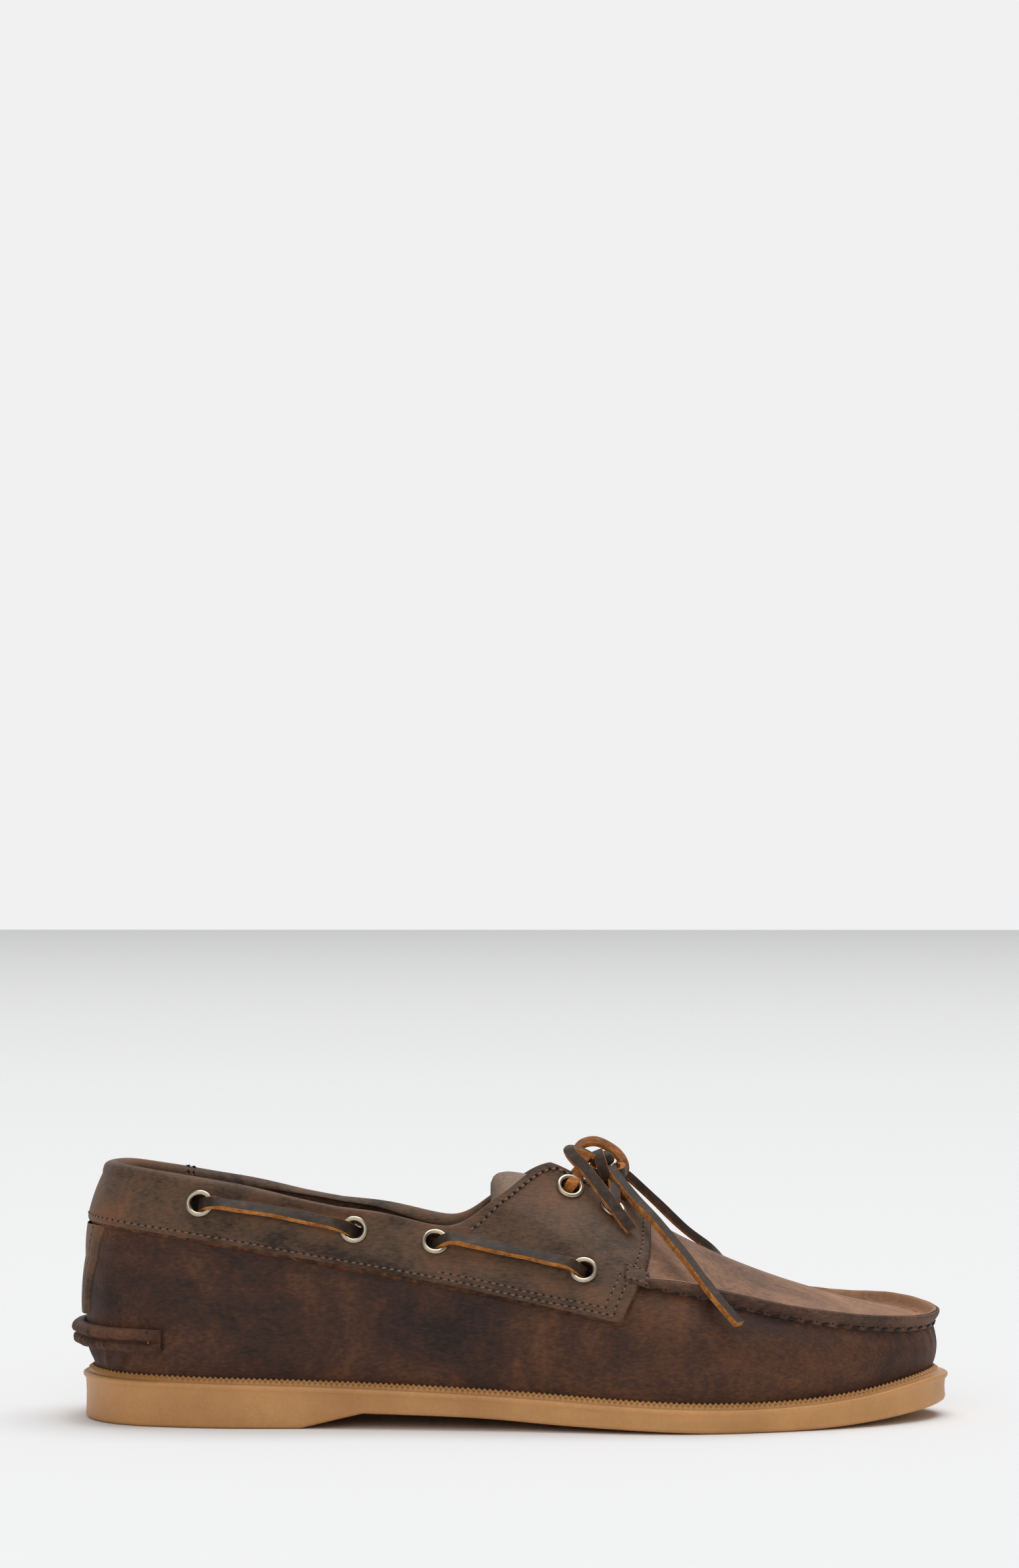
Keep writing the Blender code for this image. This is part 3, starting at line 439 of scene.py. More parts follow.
def sole_bottom(x):
    """Flat heel, sloped breast, arch, flat tread and toe spring."""
    arch_start = HEEL_BLOCK + BREAST_SLOPE
    toe = HEEL_MARGIN + LAST_LENGTH + TOE_MARGIN
    if x <= HEEL_BLOCK:
        return 0.0
    if x <= arch_start:
        return BREAST_HEIGHT * (x - HEEL_BLOCK) / BREAST_SLOPE
    if x <= ARCH_END:
        return BREAST_HEIGHT * profile_value(ARCH_PROFILE, (x - arch_start) / (ARCH_END - arch_start))
    if x <= SPRING_START:
        return 0.0
    return TOE_SPRING * ((x - SPRING_START) / (toe - SPRING_START)) ** 2


def side_place(point):
    """Place in the side view: share of LAST_LENGTH, share of BACK_HEIGHT above the sole."""
    return (point.x - HEEL_MARGIN) / LAST_LENGTH, (point.z - sole_top(point.x)) / BACK_HEIGHT


def local_height(along):
    """Height of the upper above the sole, from back to instep to toe."""
    if along <= BACK_ALONG:
        return BACK_HEIGHT
    if along <= INSTEP_ALONG:
        share = (along - BACK_ALONG) / (INSTEP_ALONG - BACK_ALONG)
        return BACK_HEIGHT + (INSTEP_HEIGHT - BACK_HEIGHT) * share
    share = min((along - INSTEP_ALONG) / (1.0 - INSTEP_ALONG), 1.0)
    return INSTEP_HEIGHT + (TOE_HEIGHT - INSTEP_HEIGHT) * share


def ring_point(rows, turn):
    """Point of a ring: turn 0 is the heel, 1 the toe, positive on the lateral side."""
    along = ring_value(rows, "along", turn)
    x = HEEL_MARGIN + along * LAST_LENGTH
    y = (ring_value(rows, "centre", turn) - ring_value(rows, "half", turn)) * BALL_WIDTH
    z = sole_top(x) + ring_value(rows, "rise", turn) * local_height(along)
    z -= ring_value(rows, "tilt", turn) * BALL_WIDTH
    if rows is EDGE_RING and turn < 0.0:
        z -= MEDIAL_EYESTAY_DROP * math.exp(-(((along - MEDIAL_EYESTAY_ALONG) / MEDIAL_EYESTAY_REACH) ** 2))
    return Vector((x, y, z))


@lru_cache(maxsize=None)
def rings_at(turn):
    """The five ring points at a turn, the shoe taken as going round past the toe."""
    if turn > 1.0:
        turn -= 2.0
    if turn < -1.0:
        turn += 2.0
    points = [ring_point(rows, turn) for rows in RINGS]
    points[0].z += GAP
    return points


def through_three(start, middle, end, share):
    """Parabola through three points, its middle reached at the share of the chords."""
    first = (middle - start).length
    second = (end - middle).length
    at = first / (first + second)
    rising = (middle - start) / at
    bend = ((end - middle) / (1.0 - at) - rising) * share * (share - at)
    return start + rising * share + bend


def smooth_leather(turn, level):
    """Outer face without folds: level 0 at the sole, 0.5 on the moccasin seam, 1 on the edge."""
    feather, wall, seam, crown, edge = rings_at(turn)
    if level <= 0.5:
        return through_three(feather, wall, seam, level * 2.0)
    return through_three(seam, crown, edge, level * 2.0 - 1.0)


def smooth_frame(turn, level):
    """Point, direction out of the leather and direction up along it."""
    step = TURN_STEP / 2.0
    up = smooth_leather(turn, min(level + step, 1.0)) - smooth_leather(turn, max(level - step, 0.0))
    around = smooth_leather(turn + step, level) - smooth_leather(turn - step, level)
    return smooth_leather(turn, level), around.cross(up).normalized(), up.normalized()


def ramp(value, start, end):
    """Soft step from 0 at start to 1 at end."""
    share = min(max((value - start) / (end - start), 0.0), 1.0)
    return share * share * (3.0 - 2.0 * share)


def marks_at(marks, point, lateral):
    """Sum of the listed marks at a point of the upper: size at the middle, soft beyond."""
    along, rise = side_place(point)
    total = 0.0
    for mark in marks:
        if mark.side * (1.0 if lateral else -1.0) < 0.0:
            continue
        run = (along - mark.along) * LAST_LENGTH
        climb = (rise - mark.rise) * BACK_HEIGHT
        lean = math.radians(mark.lean)
        down_run = run * math.cos(lean) + climb * math.sin(lean)
        across = climb * math.cos(lean) - run * math.sin(lean)
        reach = (down_run / (mark.run * LAST_LENGTH)) ** 2 + (across / (mark.width * LAST_LENGTH)) ** 2
        total += mark.size * math.exp(-reach)
    return total


@lru_cache(maxsize=None)
def frame_at(turn, level):
    """Folded point of the leather's outer face, direction out of it, direction up along it."""
    point, normal, up = smooth_frame(turn, level)
    return point + normal * WALL * marks_at(FOLDS, point, turn > 0.0), normal, up


def outline_point(turn, outwards):
    """Plan point on the feather line moved square to it."""
    here = ring_point(FEATHER_RING, turn)
    around = ring_point(FEATHER_RING, turn + TURN_STEP) - ring_point(FEATHER_RING, turn - TURN_STEP)
    return here + Vector((around.y, -around.x, 0.0)).normalized() * outwards


def margin(turn):
    """Width of the welt beyond the feather line."""
    way = (1.0 - math.cos(math.pi * turn)) / 2.0
    ends = HEEL_MARGIN + (TOE_MARGIN - HEEL_MARGIN) * way
    return ends + (SIDE_MARGIN - ends) * math.sin(math.pi * abs(turn)) ** 2


def panel_holds(point):
    """Whether a point of the upper lies under the side panel."""
    along, rise = side_place(point)
    front = profile_value(PANEL_FRONT_EDGE, rise)
    return rise > profile_value(PANEL_LOWER_EDGE, along) and along < front


def first_true(test, low, high):
    """Value from which a test holds, found by halving."""
    for _ in range(HALVINGS):
        middle = (low + high) / 2.0
        if test(middle):
            high = middle
        else:
            low = middle
    return high


@lru_cache(maxsize=None)
def panel_start(turn, inset=0.0):
    """Level at which the side panel begins, or a line set in from its edge by a length."""
    shift = Vector((inset, 0.0, -inset))
    return first_true(lambda level: panel_holds(smooth_leather(turn, level) + shift), 0.0, 1.0)


def level_at_rise(turn, rise, low=0.0):
    """Level at a share of BACK_HEIGHT above the sole."""
    return first_true(lambda level: side_place(smooth_leather(turn, level))[1] > rise, low, 1.0)


@lru_cache(maxsize=None)
def find_spot(spot):
    """Turn and level of what shows at a place in the side view."""
    turn = first_true(
        lambda turn: side_place(smooth_leather(turn, level_at_rise(turn, spot.rise, 0.3)))[0] >= spot.along,
        0.05, 0.95)
    return turn, level_at_rise(turn, spot.rise, 0.3)


# %% [markdown]
# The photograph looks straight along the lateral side from a little above the shoe, with a
# long lens, so the far side shows only over the top line. A camera that turned round the
# shoe by its own centre would do as well, but the level view keeps its uprights upright.

# %% Camera
welt = [outline_point(turn, margin(turn)).y for turn in turns(180)]
cad_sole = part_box("outsole")
SHOE = Matrix.Translation(Vector((
    cad_sole[0].x,
    (cad_sole[0].y + cad_sole[1].y - min(welt) - max(welt)) / 2.0,
    0.0,
)))
AZIMUTH = math.radians(0.6)
FOCAL_LENGTH = 120.9
STAND_OFF = 1.80
STEP_ASIDE = 0.0005
EYE_HEIGHT = 0.2160
toward = Vector((-math.sin(AZIMUTH), math.cos(AZIMUTH), 0.0))
aside = Vector((math.cos(AZIMUTH), math.sin(AZIMUTH), 0.0))
lens = bpy.data.cameras.new("camera")
lens.sensor_fit = "AUTO"
lens.sensor_width = 36.0
lens.lens = FOCAL_LENGTH
lens.clip_start = 0.05
lens.clip_end = 50.0
camera = bpy.data.objects.new("camera", lens)
camera.location = -toward * STAND_OFF - aside * STEP_ASIDE + Vector((0.0, 0.0, EYE_HEIGHT))
camera.rotation_euler = (math.radians(90.0), 0.0, AZIMUTH)
bpy.context.scene.collection.objects.link(camera)
bpy.context.scene.camera = camera
print("camera", [round(value, 3) for value in camera.location], lens.lens, "mm")

# %% [markdown]
# A shop photograph of this kind is taken on a sheet of pale paper under a large soft box
# hung above and a little in front, so the top faces are bright, the walls fall off towards
# the sole and the shadow stays under the shoe. A point lamp would draw hard edges instead.

# %% Helpers for materials and meshes


def colour(text):
    """Linear colour of an sRGB hex value."""
    values = [int(text[place:place + 2], 16) / 255.0 for place in (1, 3, 5)]
    return tuple(v / 12.92 if v <= 0.04045 else ((v + 0.055) / 1.055) ** 2.4 for v in values) + (1.0,)


def set_inputs(material, node, inputs):
    """Fills a node's sockets with values or with other nodes' outputs."""
    for name, value in dict(inputs).items():
        if isinstance(value, bpy.types.NodeSocket):
            material.node_tree.links.new(value, node.inputs[name])
        else:
            node.inputs[name].default_value = value


def add_node(material, kind, inputs=(), **settings):
    """Node with its settings and its sockets filled."""
    made = material.node_tree.nodes.new(kind)
    for name, value in settings.items():
        setattr(made, name, value)
    set_inputs(material, made, inputs)
    return made


def noise(material, place, scale, detail, roughness, distortion=0.0):
    """Cloudy pattern at a place."""
    return add_node(material, "ShaderNodeTexNoise", {
        "Vector": place, "Scale": scale, "Detail": detail, "Roughness": roughness, "Distortion": distortion,
    }).outputs["Fac"]


def reckon(material, operation, *values):
    """Sum, product or the like of up to three values."""
    return add_node(material, "ShaderNodeMath", enumerate(values), operation=operation).outputs[0]


def tones(material, level, first, last, *others):
    """Colours of a level, each given as (position, sRGB hex)."""
    made = add_node(material, "ShaderNodeValToRGB", {"Fac": level})
    stops = made.color_ramp.elements
    for stop, (position, tone) in zip(stops, (first, last)):
        stop.position = position
        stop.color = colour(tone)
    for position, tone in others:
        stops.new(position).color = colour(tone)
    return made.outputs["Color"]


def new_material(name):
    """Material with its principled shader."""
    made = bpy.data.materials.new(name)
    made.use_nodes = True
    return made, made.node_tree.nodes["Principled BSDF"]


def show(mesh, name, finishes):
    """Object of a mesh, standing in the frame, with its materials."""
    for finish in finishes:
        mesh.materials.append(finish)
    made = bpy.data.objects.new(name, mesh)
    bpy.context.scene.collection.objects.link(made)
    return made


def settle(piece, slot, *nodes):
    """Hides the solids a piece stands for and hangs it on the root body; slot is not used."""
    if nodes:
        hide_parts(*nodes)
    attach(piece, "root")
    print(piece.name, len(piece.data.polygons), "faces")


def mesh_from(made, name, smooth=True):
    """Mesh of a bmesh that was built in the shoe's own measure."""
    made.transform(SHOE)
    for face in made.faces:
        face.smooth = smooth
    mesh = bpy.data.meshes.new(name)
    made.to_mesh(mesh)
    made.free()
    return mesh


def loft(name, sections, finishes, finish_at=None, closed=False, ends=False):
    """Skin over equal sections; finish_at gives a face's material from its two shares."""
    columns = len(sections) - 1
    points = len(sections[0])
    rows = points if closed else points - 1
    made = bmesh.new()
    made.loops.layers.uv.new("UVMap")
    bmesh.ops.create_grid(made, x_segments=columns, y_segments=rows, size=0.5, calc_uvs=True)
    for face in made.faces:
        middle = face.calc_center_median()
        if finish_at:
            face.material_index = finish_at(middle.x + 0.5, middle.y + 0.5)
    for vert in made.verts:
        column = round((vert.co.x + 0.5) * columns)
        row = round((vert.co.y + 0.5) * rows)
        vert.co = sections[column][row % points]
    bmesh.ops.remove_doubles(made, verts=made.verts, dist=WELD)
    if ends:
        bmesh.ops.holes_fill(made, edges=made.edges)
    bmesh.ops.recalc_face_normals(made, faces=made.faces)
    return show(mesh_from(made, name), name, finishes)


print("shoe's own zero at", [round(value, 4) for value in SHOE.translation])

# %% Paper, lamps and room
paper, shader = new_material("backdrop_paper")
# Matt coated paper from a roll: even and pale, so that it shows the shadow alone.
set_inputs(paper, shader, {"Base Color": colour("#F4F4F4"), "Roughness": 0.95, "Specular IOR Level": 0.0})

screen, shader = new_material("lit_backdrop")
# The sheet behind is lit on its own, so that it meets the floor's tone without a line.
set_inputs(screen, shader, {
    "Base Color": colour("#000000"), "Specular IOR Level": 0.0, "Emission Color": colour("#F1F1F1"),
    "Emission Strength": 1.0,
})


def sheet_of_paper(name, finish, width, height, place, tilt=0.0):
    """Flat rectangle of backdrop."""
    made = bmesh.new()
    turned = Matrix.Translation(Vector(place)) @ Matrix.Rotation(tilt, 4, "X")
    matrix = turned @ Matrix.Diagonal((width, height, 1.0, 1.0))
    bmesh.ops.create_grid(made, x_segments=1, y_segments=1, size=0.5, matrix=matrix)
    mesh = bpy.data.meshes.new(name)
    made.to_mesh(mesh)
    made.free()
    sheet = show(mesh, name, [finish])
    return sheet


floor = sheet_of_paper("floor_paper", paper, 16.0, 9.6, (0.0, 1.2, 0.0))
wall = sheet_of_paper("back_paper", screen, 16.0, 9.0, (0.0, 6.0, 4.5), math.pi / 2.0)
wall.visible_diffuse = False


def wide_lamp(name, strength, angle, pitch, roll):
    """Very soft lamp far away, so that the paper under it stays even."""
    light = bpy.data.lights.new(name, "SUN")
    light.energy = strength
    light.angle = math.radians(angle)
    lamp = bpy.data.objects.new(name, light)
    lamp.rotation_euler = (math.radians(pitch), math.radians(roll), 0.0)
    bpy.context.scene.collection.objects.link(lamp)
    return lamp


wide_lamp("overhead", 1.98, 50.0, -8.0, 6.0)
wide_lamp("front_fill", 0.62, 50.0, 58.0, -14.0)
room = bpy.data.worlds.new("room")
room.use_nodes = True
room.node_tree.nodes["Background"].inputs["Color"].default_value = colour("#F2F3F5")
room.node_tree.nodes["Background"].inputs["Strength"].default_value = 0.30
bpy.context.scene.world = room
bpy.context.scene.view_settings.view_transform = "Standard"
print("stage", floor.name, wall.name, "and two lamps")


# %% [markdown]
# The leather is an oiled pull-up nubuck: sanded on the grain side, soaked in wax and oil, so
# it goes lighter wherever it bends or is rubbed and dark where it was pressed. Its colour
# is clouds of three browns with a fine nap over them. A flat brown with grain would look
# like coated leather.

# %% Leather
# Scales of the patterns in repeats per metre and how far each moves the tone.
NAP_SCALE = 420.0
NAP_TONE = 0.24
HAIR_SCALE = 1300.0
HAIR_TONE = 0.50
SCRATCH_SCALE = 44.0
SCRATCH_TONE = 0.16


def leather(name, dark, middle, light, cloud, roughness, nap=1.0):
    """Pull-up nubuck: clouds of three browns, rubs from the mesh, nap, pores and scratches."""
    made, shader = new_material(name)
    place = add_node(made, "ShaderNodeTexCoord").outputs["Object"]
    rub = add_node(made, "ShaderNodeAttribute", attribute_name="rub").outputs["Fac"]
    clouds = noise(made, place, cloud, 7.0, 0.66, 0.6)
    small = noise(made, place, NAP_SCALE, 6.0, 0.7)
    stretch = add_node(made, "ShaderNodeMapping", {
        "Vector": place, "Scale": (0.35, 1.0, 1.0), "Rotation": (0.0, 0.5, 0.0),
    }).outputs["Vector"]
    hairs = noise(made, stretch, HAIR_SCALE, 4.0, 0.6)
    level = reckon(made, "ADD", clouds, rub)
    level = reckon(made, "MULTIPLY_ADD", reckon(made, "SUBTRACT", small, 0.5), NAP_TONE * nap, level)
    level = reckon(made, "MULTIPLY_ADD", reckon(made, "SUBTRACT", hairs, 0.5), HAIR_TONE * nap, level)
    drift = noise(made, place, SCRATCH_SCALE, 1.5, 0.5, 0.8)
    from_line = reckon(made, "ABSOLUTE", reckon(made, "SUBTRACT", drift, 0.5))
    hair_line = add_node(made, "ShaderNodeMapRange", {
        "Value": from_line, "From Min": 0.0, "From Max": 0.0035, "To Min": 1.0, "To Max": 0.0,
    }).outputs["Result"]
    patch = add_node(made, "ShaderNodeMapRange", {
        "Value": small, "From Min": 0.50, "From Max": 0.66, "To Min": 0.0, "To Max": SCRATCH_TONE * nap,
    }).outputs["Result"]
    level = reckon(made, "MULTIPLY_ADD", hair_line, patch, level)
    bumps = add_node(made, "ShaderNodeBump", {
        "Height": hairs, "Distance": 0.00020 * nap, "Strength": 0.7,
    }).outputs["Normal"]
    lumps = add_node(made, "ShaderNodeBump", {
        "Height": small, "Distance": 0.00018, "Strength": 0.5, "Normal": bumps,
    }).outputs["Normal"]
    set_inputs(made, shader, {
        "Base Color": tones(made, level, (0.30, dark), (0.78, light), (0.52, middle)), "Normal": lumps,
        "Roughness": roughness, "Specular IOR Level": 0.20, "Sheen Weight": 0.03, "Sheen Roughness": 0.6,
    })
    return made


WRAP = leather("oiled_nubuck_wrap", "#29201E", "#4A3024", "#70492F", 30.0, 0.62)
PANEL_LEATHER = leather("oiled_nubuck_panel", "#33281F", "#5F4837", "#84583B", 30.0, 0.6)
PLUG = leather("oiled_nubuck_plug", "#654838", "#926D55", "#AF8462", 30.0, 0.68)
LINING = leather("glove_leather_lining", "#1F1612", "#2E211A", "#3C2B22", 22.0, 0.6, 0.5)
TONGUE_LEATHER = leather("oiled_nubuck_tongue", "#6A5649", "#937B69", "#AB937F", 30.0, 0.7)
SOCK = leather("sock_leather", "#5B3820", "#7A4D2C", "#946236", 18.0, 0.55, 0.5)

# Sueded edge where the knife cut the hide: the dye stops at the skin, so it shows raw orange.
CUT_EDGE = leather("raw_cut_edge", "#7E481F", "#B4702F", "#DA9A4E", 300.0, 0.85)
# The ridge's outer face was pressed and oiled, so it is the darkest leather of the shoe.
RIDGE_FACE = leather("oiled_nubuck_ridge", "#30241D", "#573F32", "#795845", 60.0, 0.6)
# The panel's raw edge has been handled and oiled, so its orange is duller than the lace's.
RAW_EDGE = leather("oiled_raw_edge", "#2A180F", "#51311D", "#80502D", 260.0, 0.85)
# Rawhide lace: dyed on the grain side alone, with raw tan flesh and edges.
LACE_GRAIN = leather("rawhide_grain", "#21160E", "#38281C", "#57422F", 240.0, 0.5, 0.6)
LACE_FLESH = leather("rawhide_flesh", "#6B4226", "#966039", "#BE8A5A", 260.0, 0.9)

# %% Thread, rubber and nickel


def plain(name, tone, roughness):
    """One even finish."""
    made, shader = new_material(name)
    set_inputs(made, shader, {"Base Color": colour(tone), "Roughness": roughness})
    return made


# Waxed polyester thread: even brown, a little shiny.
THREAD = plain("waxed_thread", "#7A5644", 0.5)
DARK_THREAD = plain("moccasin_cord", "#1E1410", 0.6)
# Needle holes are not cut: a near-black dot of painted shade stands for each one.
NEEDLE_HOLE_SHADE = plain("needle_hole_shade", "#120C09", 0.9)

# Turned and plated brass: fine turning marks round the ring break the reflection up.
NICKEL, shader = new_material("nickel_plate")
place = add_node(NICKEL, "ShaderNodeTexCoord").outputs["Object"]
wear = noise(NICKEL, place, 900.0, 3.0, 0.6)
rough = add_node(NICKEL, "ShaderNodeMapRange", {
    "Value": wear, "To Min": 0.20, "To Max": 0.34}).outputs["Result"]
set_inputs(NICKEL, shader, {"Metallic": 1.0, "Base Color": colour("#B3A793"), "Roughness": rough})

# Pale crepe-like gum rubber, moulded in one unit: slightly clear, so light softens its edges.
RUBBER, shader = new_material("gum_rubber")
place = add_node(RUBBER, "ShaderNodeTexCoord").outputs["Object"]
cast = noise(RUBBER, place, 26.0, 4.0, 0.55)
dust = noise(RUBBER, place, 1100.0, 4.0, 0.65)
both = reckon(RUBBER, "MULTIPLY_ADD", dust, 0.3, cast)
grit = add_node(RUBBER, "ShaderNodeBump", {
    "Height": dust, "Distance": 0.00006, "Strength": 0.5}).outputs["Normal"]
set_inputs(RUBBER, shader, {
    "Base Color": tones(RUBBER, both, (0.40, "#B27C47"), (0.85, "#D69F62")), "Normal": grit,
    "Roughness": 0.46, "Subsurface Weight": 0.12, "Subsurface Radius": (0.004, 0.002, 0.001),
    "Subsurface Scale": 1.0,
})
print("materials", len(bpy.data.materials))


# %% [markdown]
# The lace is rawhide: a flat strip cut from a hide, 3.6 mm wide and not quite 2 mm thick,
# dark on its grain side and raw orange on the flesh side and both cut edges. It holds the
# bends of its knot. Each run is swept as a rounded rectangle that turns with the strip, since
# a round tube would hide that the strip twists.

# %% Lace strips
Lay = namedtuple("Lay", "x y z out_x out_y out_z")
# Round the strip: shares of its width and thickness, from the grain side over an edge.
STRIP_SECTION = (
    (-0.46, 0.50), (-0.16, 0.53), (0.16, 0.53), (0.46, 0.50), (0.50, 0.40), (0.51, 0.0),
    (0.50, -0.40), (0.45, -0.50), (0.15, -0.49), (-0.15, -0.49), (-0.45, -0.50), (-0.50, -0.40),
    (-0.51, 0.0), (-0.50, 0.40),
)
GRAIN_END = 3.0
FLESH_START = 7.0
FLESH_END = 11.0
STRIP_STEP = 0.0009
FINE_STRIP_STEP = 0.0007
LACE_FINISHES = (LACE_GRAIN, LACE_FLESH, CUT_EDGE)


def strip_finish(_, share):
    """Grain on the face, raw hide on the flesh side and the edges."""
    corner = share * len(STRIP_SECTION)
    if corner < GRAIN_END:
        return 0
    return 1 if FLESH_START <= corner < FLESH_END else 2


def smooth_route(rows, step):
    """Evenly spaced points and directions on a curve through the rows of a route."""
    fine = []
    for index in range(len(rows) - 1):
        for share in shares(16)[:-1]:
            fine.append([hermite(*values, share) for values in zip(*four_round(rows, index))])
    fine.append(list(rows[-1]))
    walked = walk([Vector(row[:3]) for row in fine])
    wanted = [walked[-1] * share for share in shares(max(round(walked[-1] / step), 2))]
    route = [
        [a + (b - a) * min(share, 1.0) for a, b in zip(fine[index], fine[index + 1])]
        for index, share in even_places(walked, wanted)
    ]
    return route, walked[-1]


def strip(name, rows, step=STRIP_STEP, width=LACE_WIDTH, thickness=LACE_THICKNESS,
          finishes=LACE_FINISHES):
    """Strip of lace along a route; returns it with the line through its middle and its length."""
    route, length = smooth_route(rows, step)
    points = [Vector(row[:3]) for row in route]
    sections = []
    for number, point in enumerate(points):
        forward = (points[min(number + 1, len(points) - 1)] - points[max(number - 1, 0)]).normalized()
        out = Vector(route[number][3:])
        out = (out - forward * out.dot(forward)).normalized()
        side = out.cross(forward)
        share = number / (len(points) - 1)
        cut_width = width * (1.0 + 0.04 * math.sin(share * 23.0 + len(points)))
        sections.append([
            point + side * across * cut_width + out * height * thickness for across, height in STRIP_SECTION
        ])
    piece = loft(name, sections, finishes, strip_finish, closed=True, ends=True)
    piece.data.set_sharp_from_angle(angle=math.radians(30.0))
    for face in piece.data.polygons:
        if len(face.vertices) > 4:
            face.material_index = 2
            face.use_smooth = False
    print(name, round(length * 1000.0), "mm")
    return piece, [SHOE @ point for point in points], length


# %% Free ends, loop and knot
NEAR_END = (
    Lay(0.1800, -0.0040, 0.0850, 0.30, -0.55, 0.78),
    Lay(0.1842, -0.0105, 0.0800, 0.40, -0.68, 0.62),
    Lay(0.1892, -0.0165, 0.0744, 0.50, -0.68, 0.54),
    Lay(0.1950, -0.0225, 0.0688, 0.54, -0.66, 0.52),
    Lay(0.2005, -0.0285, 0.0626, 0.56, -0.66, 0.50),
    Lay(0.2060, -0.0350, 0.0562, 0.56, -0.66, 0.50),
    Lay(0.2112, -0.0415, 0.0496, 0.58, -0.64, 0.50),
    Lay(0.2165, -0.0470, 0.0432, 0.60, -0.62, 0.50),
    Lay(0.2226, -0.0515, 0.0366, 0.62, -0.60, 0.50),
)
FAR_END = (
    Lay(0.1818, 0.0040, 0.0848, 0.30, -0.60, 0.74),
    Lay(0.1860, 0.0080, 0.0818, 0.35, -0.80, 0.45),
    Lay(0.1955, 0.0140, 0.0728, 0.35, -0.85, 0.35),
    Lay(0.2058, 0.0215, 0.0625, 0.35, -0.85, 0.35),
    Lay(0.2150, 0.0310, 0.0548, 0.40, -0.80, 0.42),
    Lay(0.2220, 0.0410, 0.0480, 0.60, 0.10, 0.80),
    Lay(0.2270, 0.0500, 0.0392, 0.62, 0.60, 0.45),
    Lay(0.2302, 0.0540, 0.0310, 0.62, 0.74, 0.26),
)
SHORT_END = (
    Lay(0.1742, -0.0045, 0.0892, 0.10, -0.20, 0.97),
    Lay(0.1700, -0.0065, 0.0912, -0.20, -0.40, 0.88),
    Lay(0.1664, -0.0098, 0.0918, -0.35, -0.75, 0.55),
    Lay(0.1672, -0.0132, 0.0900, 0.10, -0.93, 0.35),
    Lay(0.1712, -0.0165, 0.0860, 0.30, -0.90, 0.30),
    Lay(0.1752, -0.0198, 0.0812, 0.32, -0.90, 0.28),
    Lay(0.1796, -0.0232, 0.0755, 0.34, -0.90, 0.26),
    Lay(0.1836, -0.0258, 0.0703, 0.36, -0.90, 0.24),
    Lay(0.1872, -0.0278, 0.0656, 0.38, -0.90, 0.22),
)
LOOP = (
    Lay(0.1735, 0.0030, 0.0872, 0.30, 0.40, -0.84),
    Lay(0.1692, 0.0050, 0.0894, 0.60, 0.45, -0.66),
    Lay(0.1706, 0.0062, 0.0924, 0.30, 0.50, -0.80),
    Lay(0.1752, 0.0062, 0.0934, 0.00, 0.52, -0.85),
    Lay(0.1800, 0.0058, 0.0914, -0.42, 0.54, -0.72),
    Lay(0.1838, 0.0052, 0.0880, -0.62, 0.60, -0.45),
    Lay(0.1850, 0.0042, 0.0842, -0.70, 0.66, -0.10),
    Lay(0.1828, 0.0020, 0.0816, -0.50, 0.40, 0.60),
)
KNOT_WRAP = (
    Lay(0.1752, 0.0062, 0.0848, -0.30, 0.80, 0.50),
    Lay(0.1758, 0.0020, 0.0896, -0.35, 0.10, 0.93),
    Lay(0.1764, -0.0040, 0.0892, -0.20, -0.75, 0.62),
    Lay(0.1776, -0.0070, 0.0852, 0.05, -0.98, 0.10),
    Lay(0.1794, -0.0062, 0.0812, 0.15, -0.92, -0.35),
    Lay(0.1806, -0.0030, 0.0790, 0.25, -0.40, -0.88),
)
KNOT_CROSS = (
    Lay(0.1722, -0.0035, 0.0846, -0.60, -0.78, 0.10),
    Lay(0.1752, -0.0062, 0.0832, -0.25, -0.96, 0.10),
    Lay(0.1796, -0.0064, 0.0826, 0.15, -0.98, 0.10),
    Lay(0.1836, -0.0042, 0.0830, 0.65, -0.75, 0.10),
    Lay(0.1848, 0.0005, 0.0842, 0.98, -0.05, 0.15),
    Lay(0.1830, 0.0048, 0.0850, 0.60, 0.78, 0.15),
)
KNOT_TAIL = (
    Lay(0.1822, -0.0050, 0.0800, 0.50, -0.80, 0.30),
    Lay(0.1848, -0.0082, 0.0768, 0.55, -0.75, 0.35),
    Lay(0.1882, -0.0112, 0.0724, 0.55, -0.75, 0.35),
)
knot_core = bmesh.new()
bmesh.ops.create_uvsphere(
    knot_core, u_segments=32, v_segments=16, radius=0.5,
    matrix=Matrix.Translation(Vector(KNOT_CENTRE)) @ Matrix.Diagonal(KNOT_CORE + (1.0,)),
)
knot = show(mesh_from(knot_core, "knot_core"), "knot_core", [LACE_GRAIN])
knot_parts = [knot] + [
    strip(name, rows)[0]
    for name, rows in (("knot_wrap", KNOT_WRAP), ("knot_cross", KNOT_CROSS), ("knot_tail", KNOT_TAIL))
]
Run = namedtuple("Run", "name rows node far_end width thickness")
for run in (
    Run("near_end", NEAR_END, "lace_end_lateral", "bare", 0.0040, 0.0021),
    Run("far_end", FAR_END, "lace_end_medial", "bare", 0.0030, 0.0014),
    Run("short_end", SHORT_END, "lace_end_short", "bare", 0.0041, 0.0016),
    Run("bow_loop", LOOP, "lace_loop", "object", 0.0038, 0.0018),
):
    piece, line, length = strip(run.name, run.rows, width=run.width, thickness=run.thickness)
    settle(piece, "rawhide", run.node)
for piece in knot_parts:
    settle(piece, "rawhide", "lace_knot")


# %% [markdown]
# The upper of a moccasin is a wrap that comes up from under the foot and a plug sewn to it
# on top. Both are one wall here, two millimetres thick with its lining, as they are joined
# along their whole length. It is drawn from the rings, in fine steps, so that the folds and
# the puckers at the moccasin seam are real forms. A solid with bump alone would stay smooth
# along its outline.

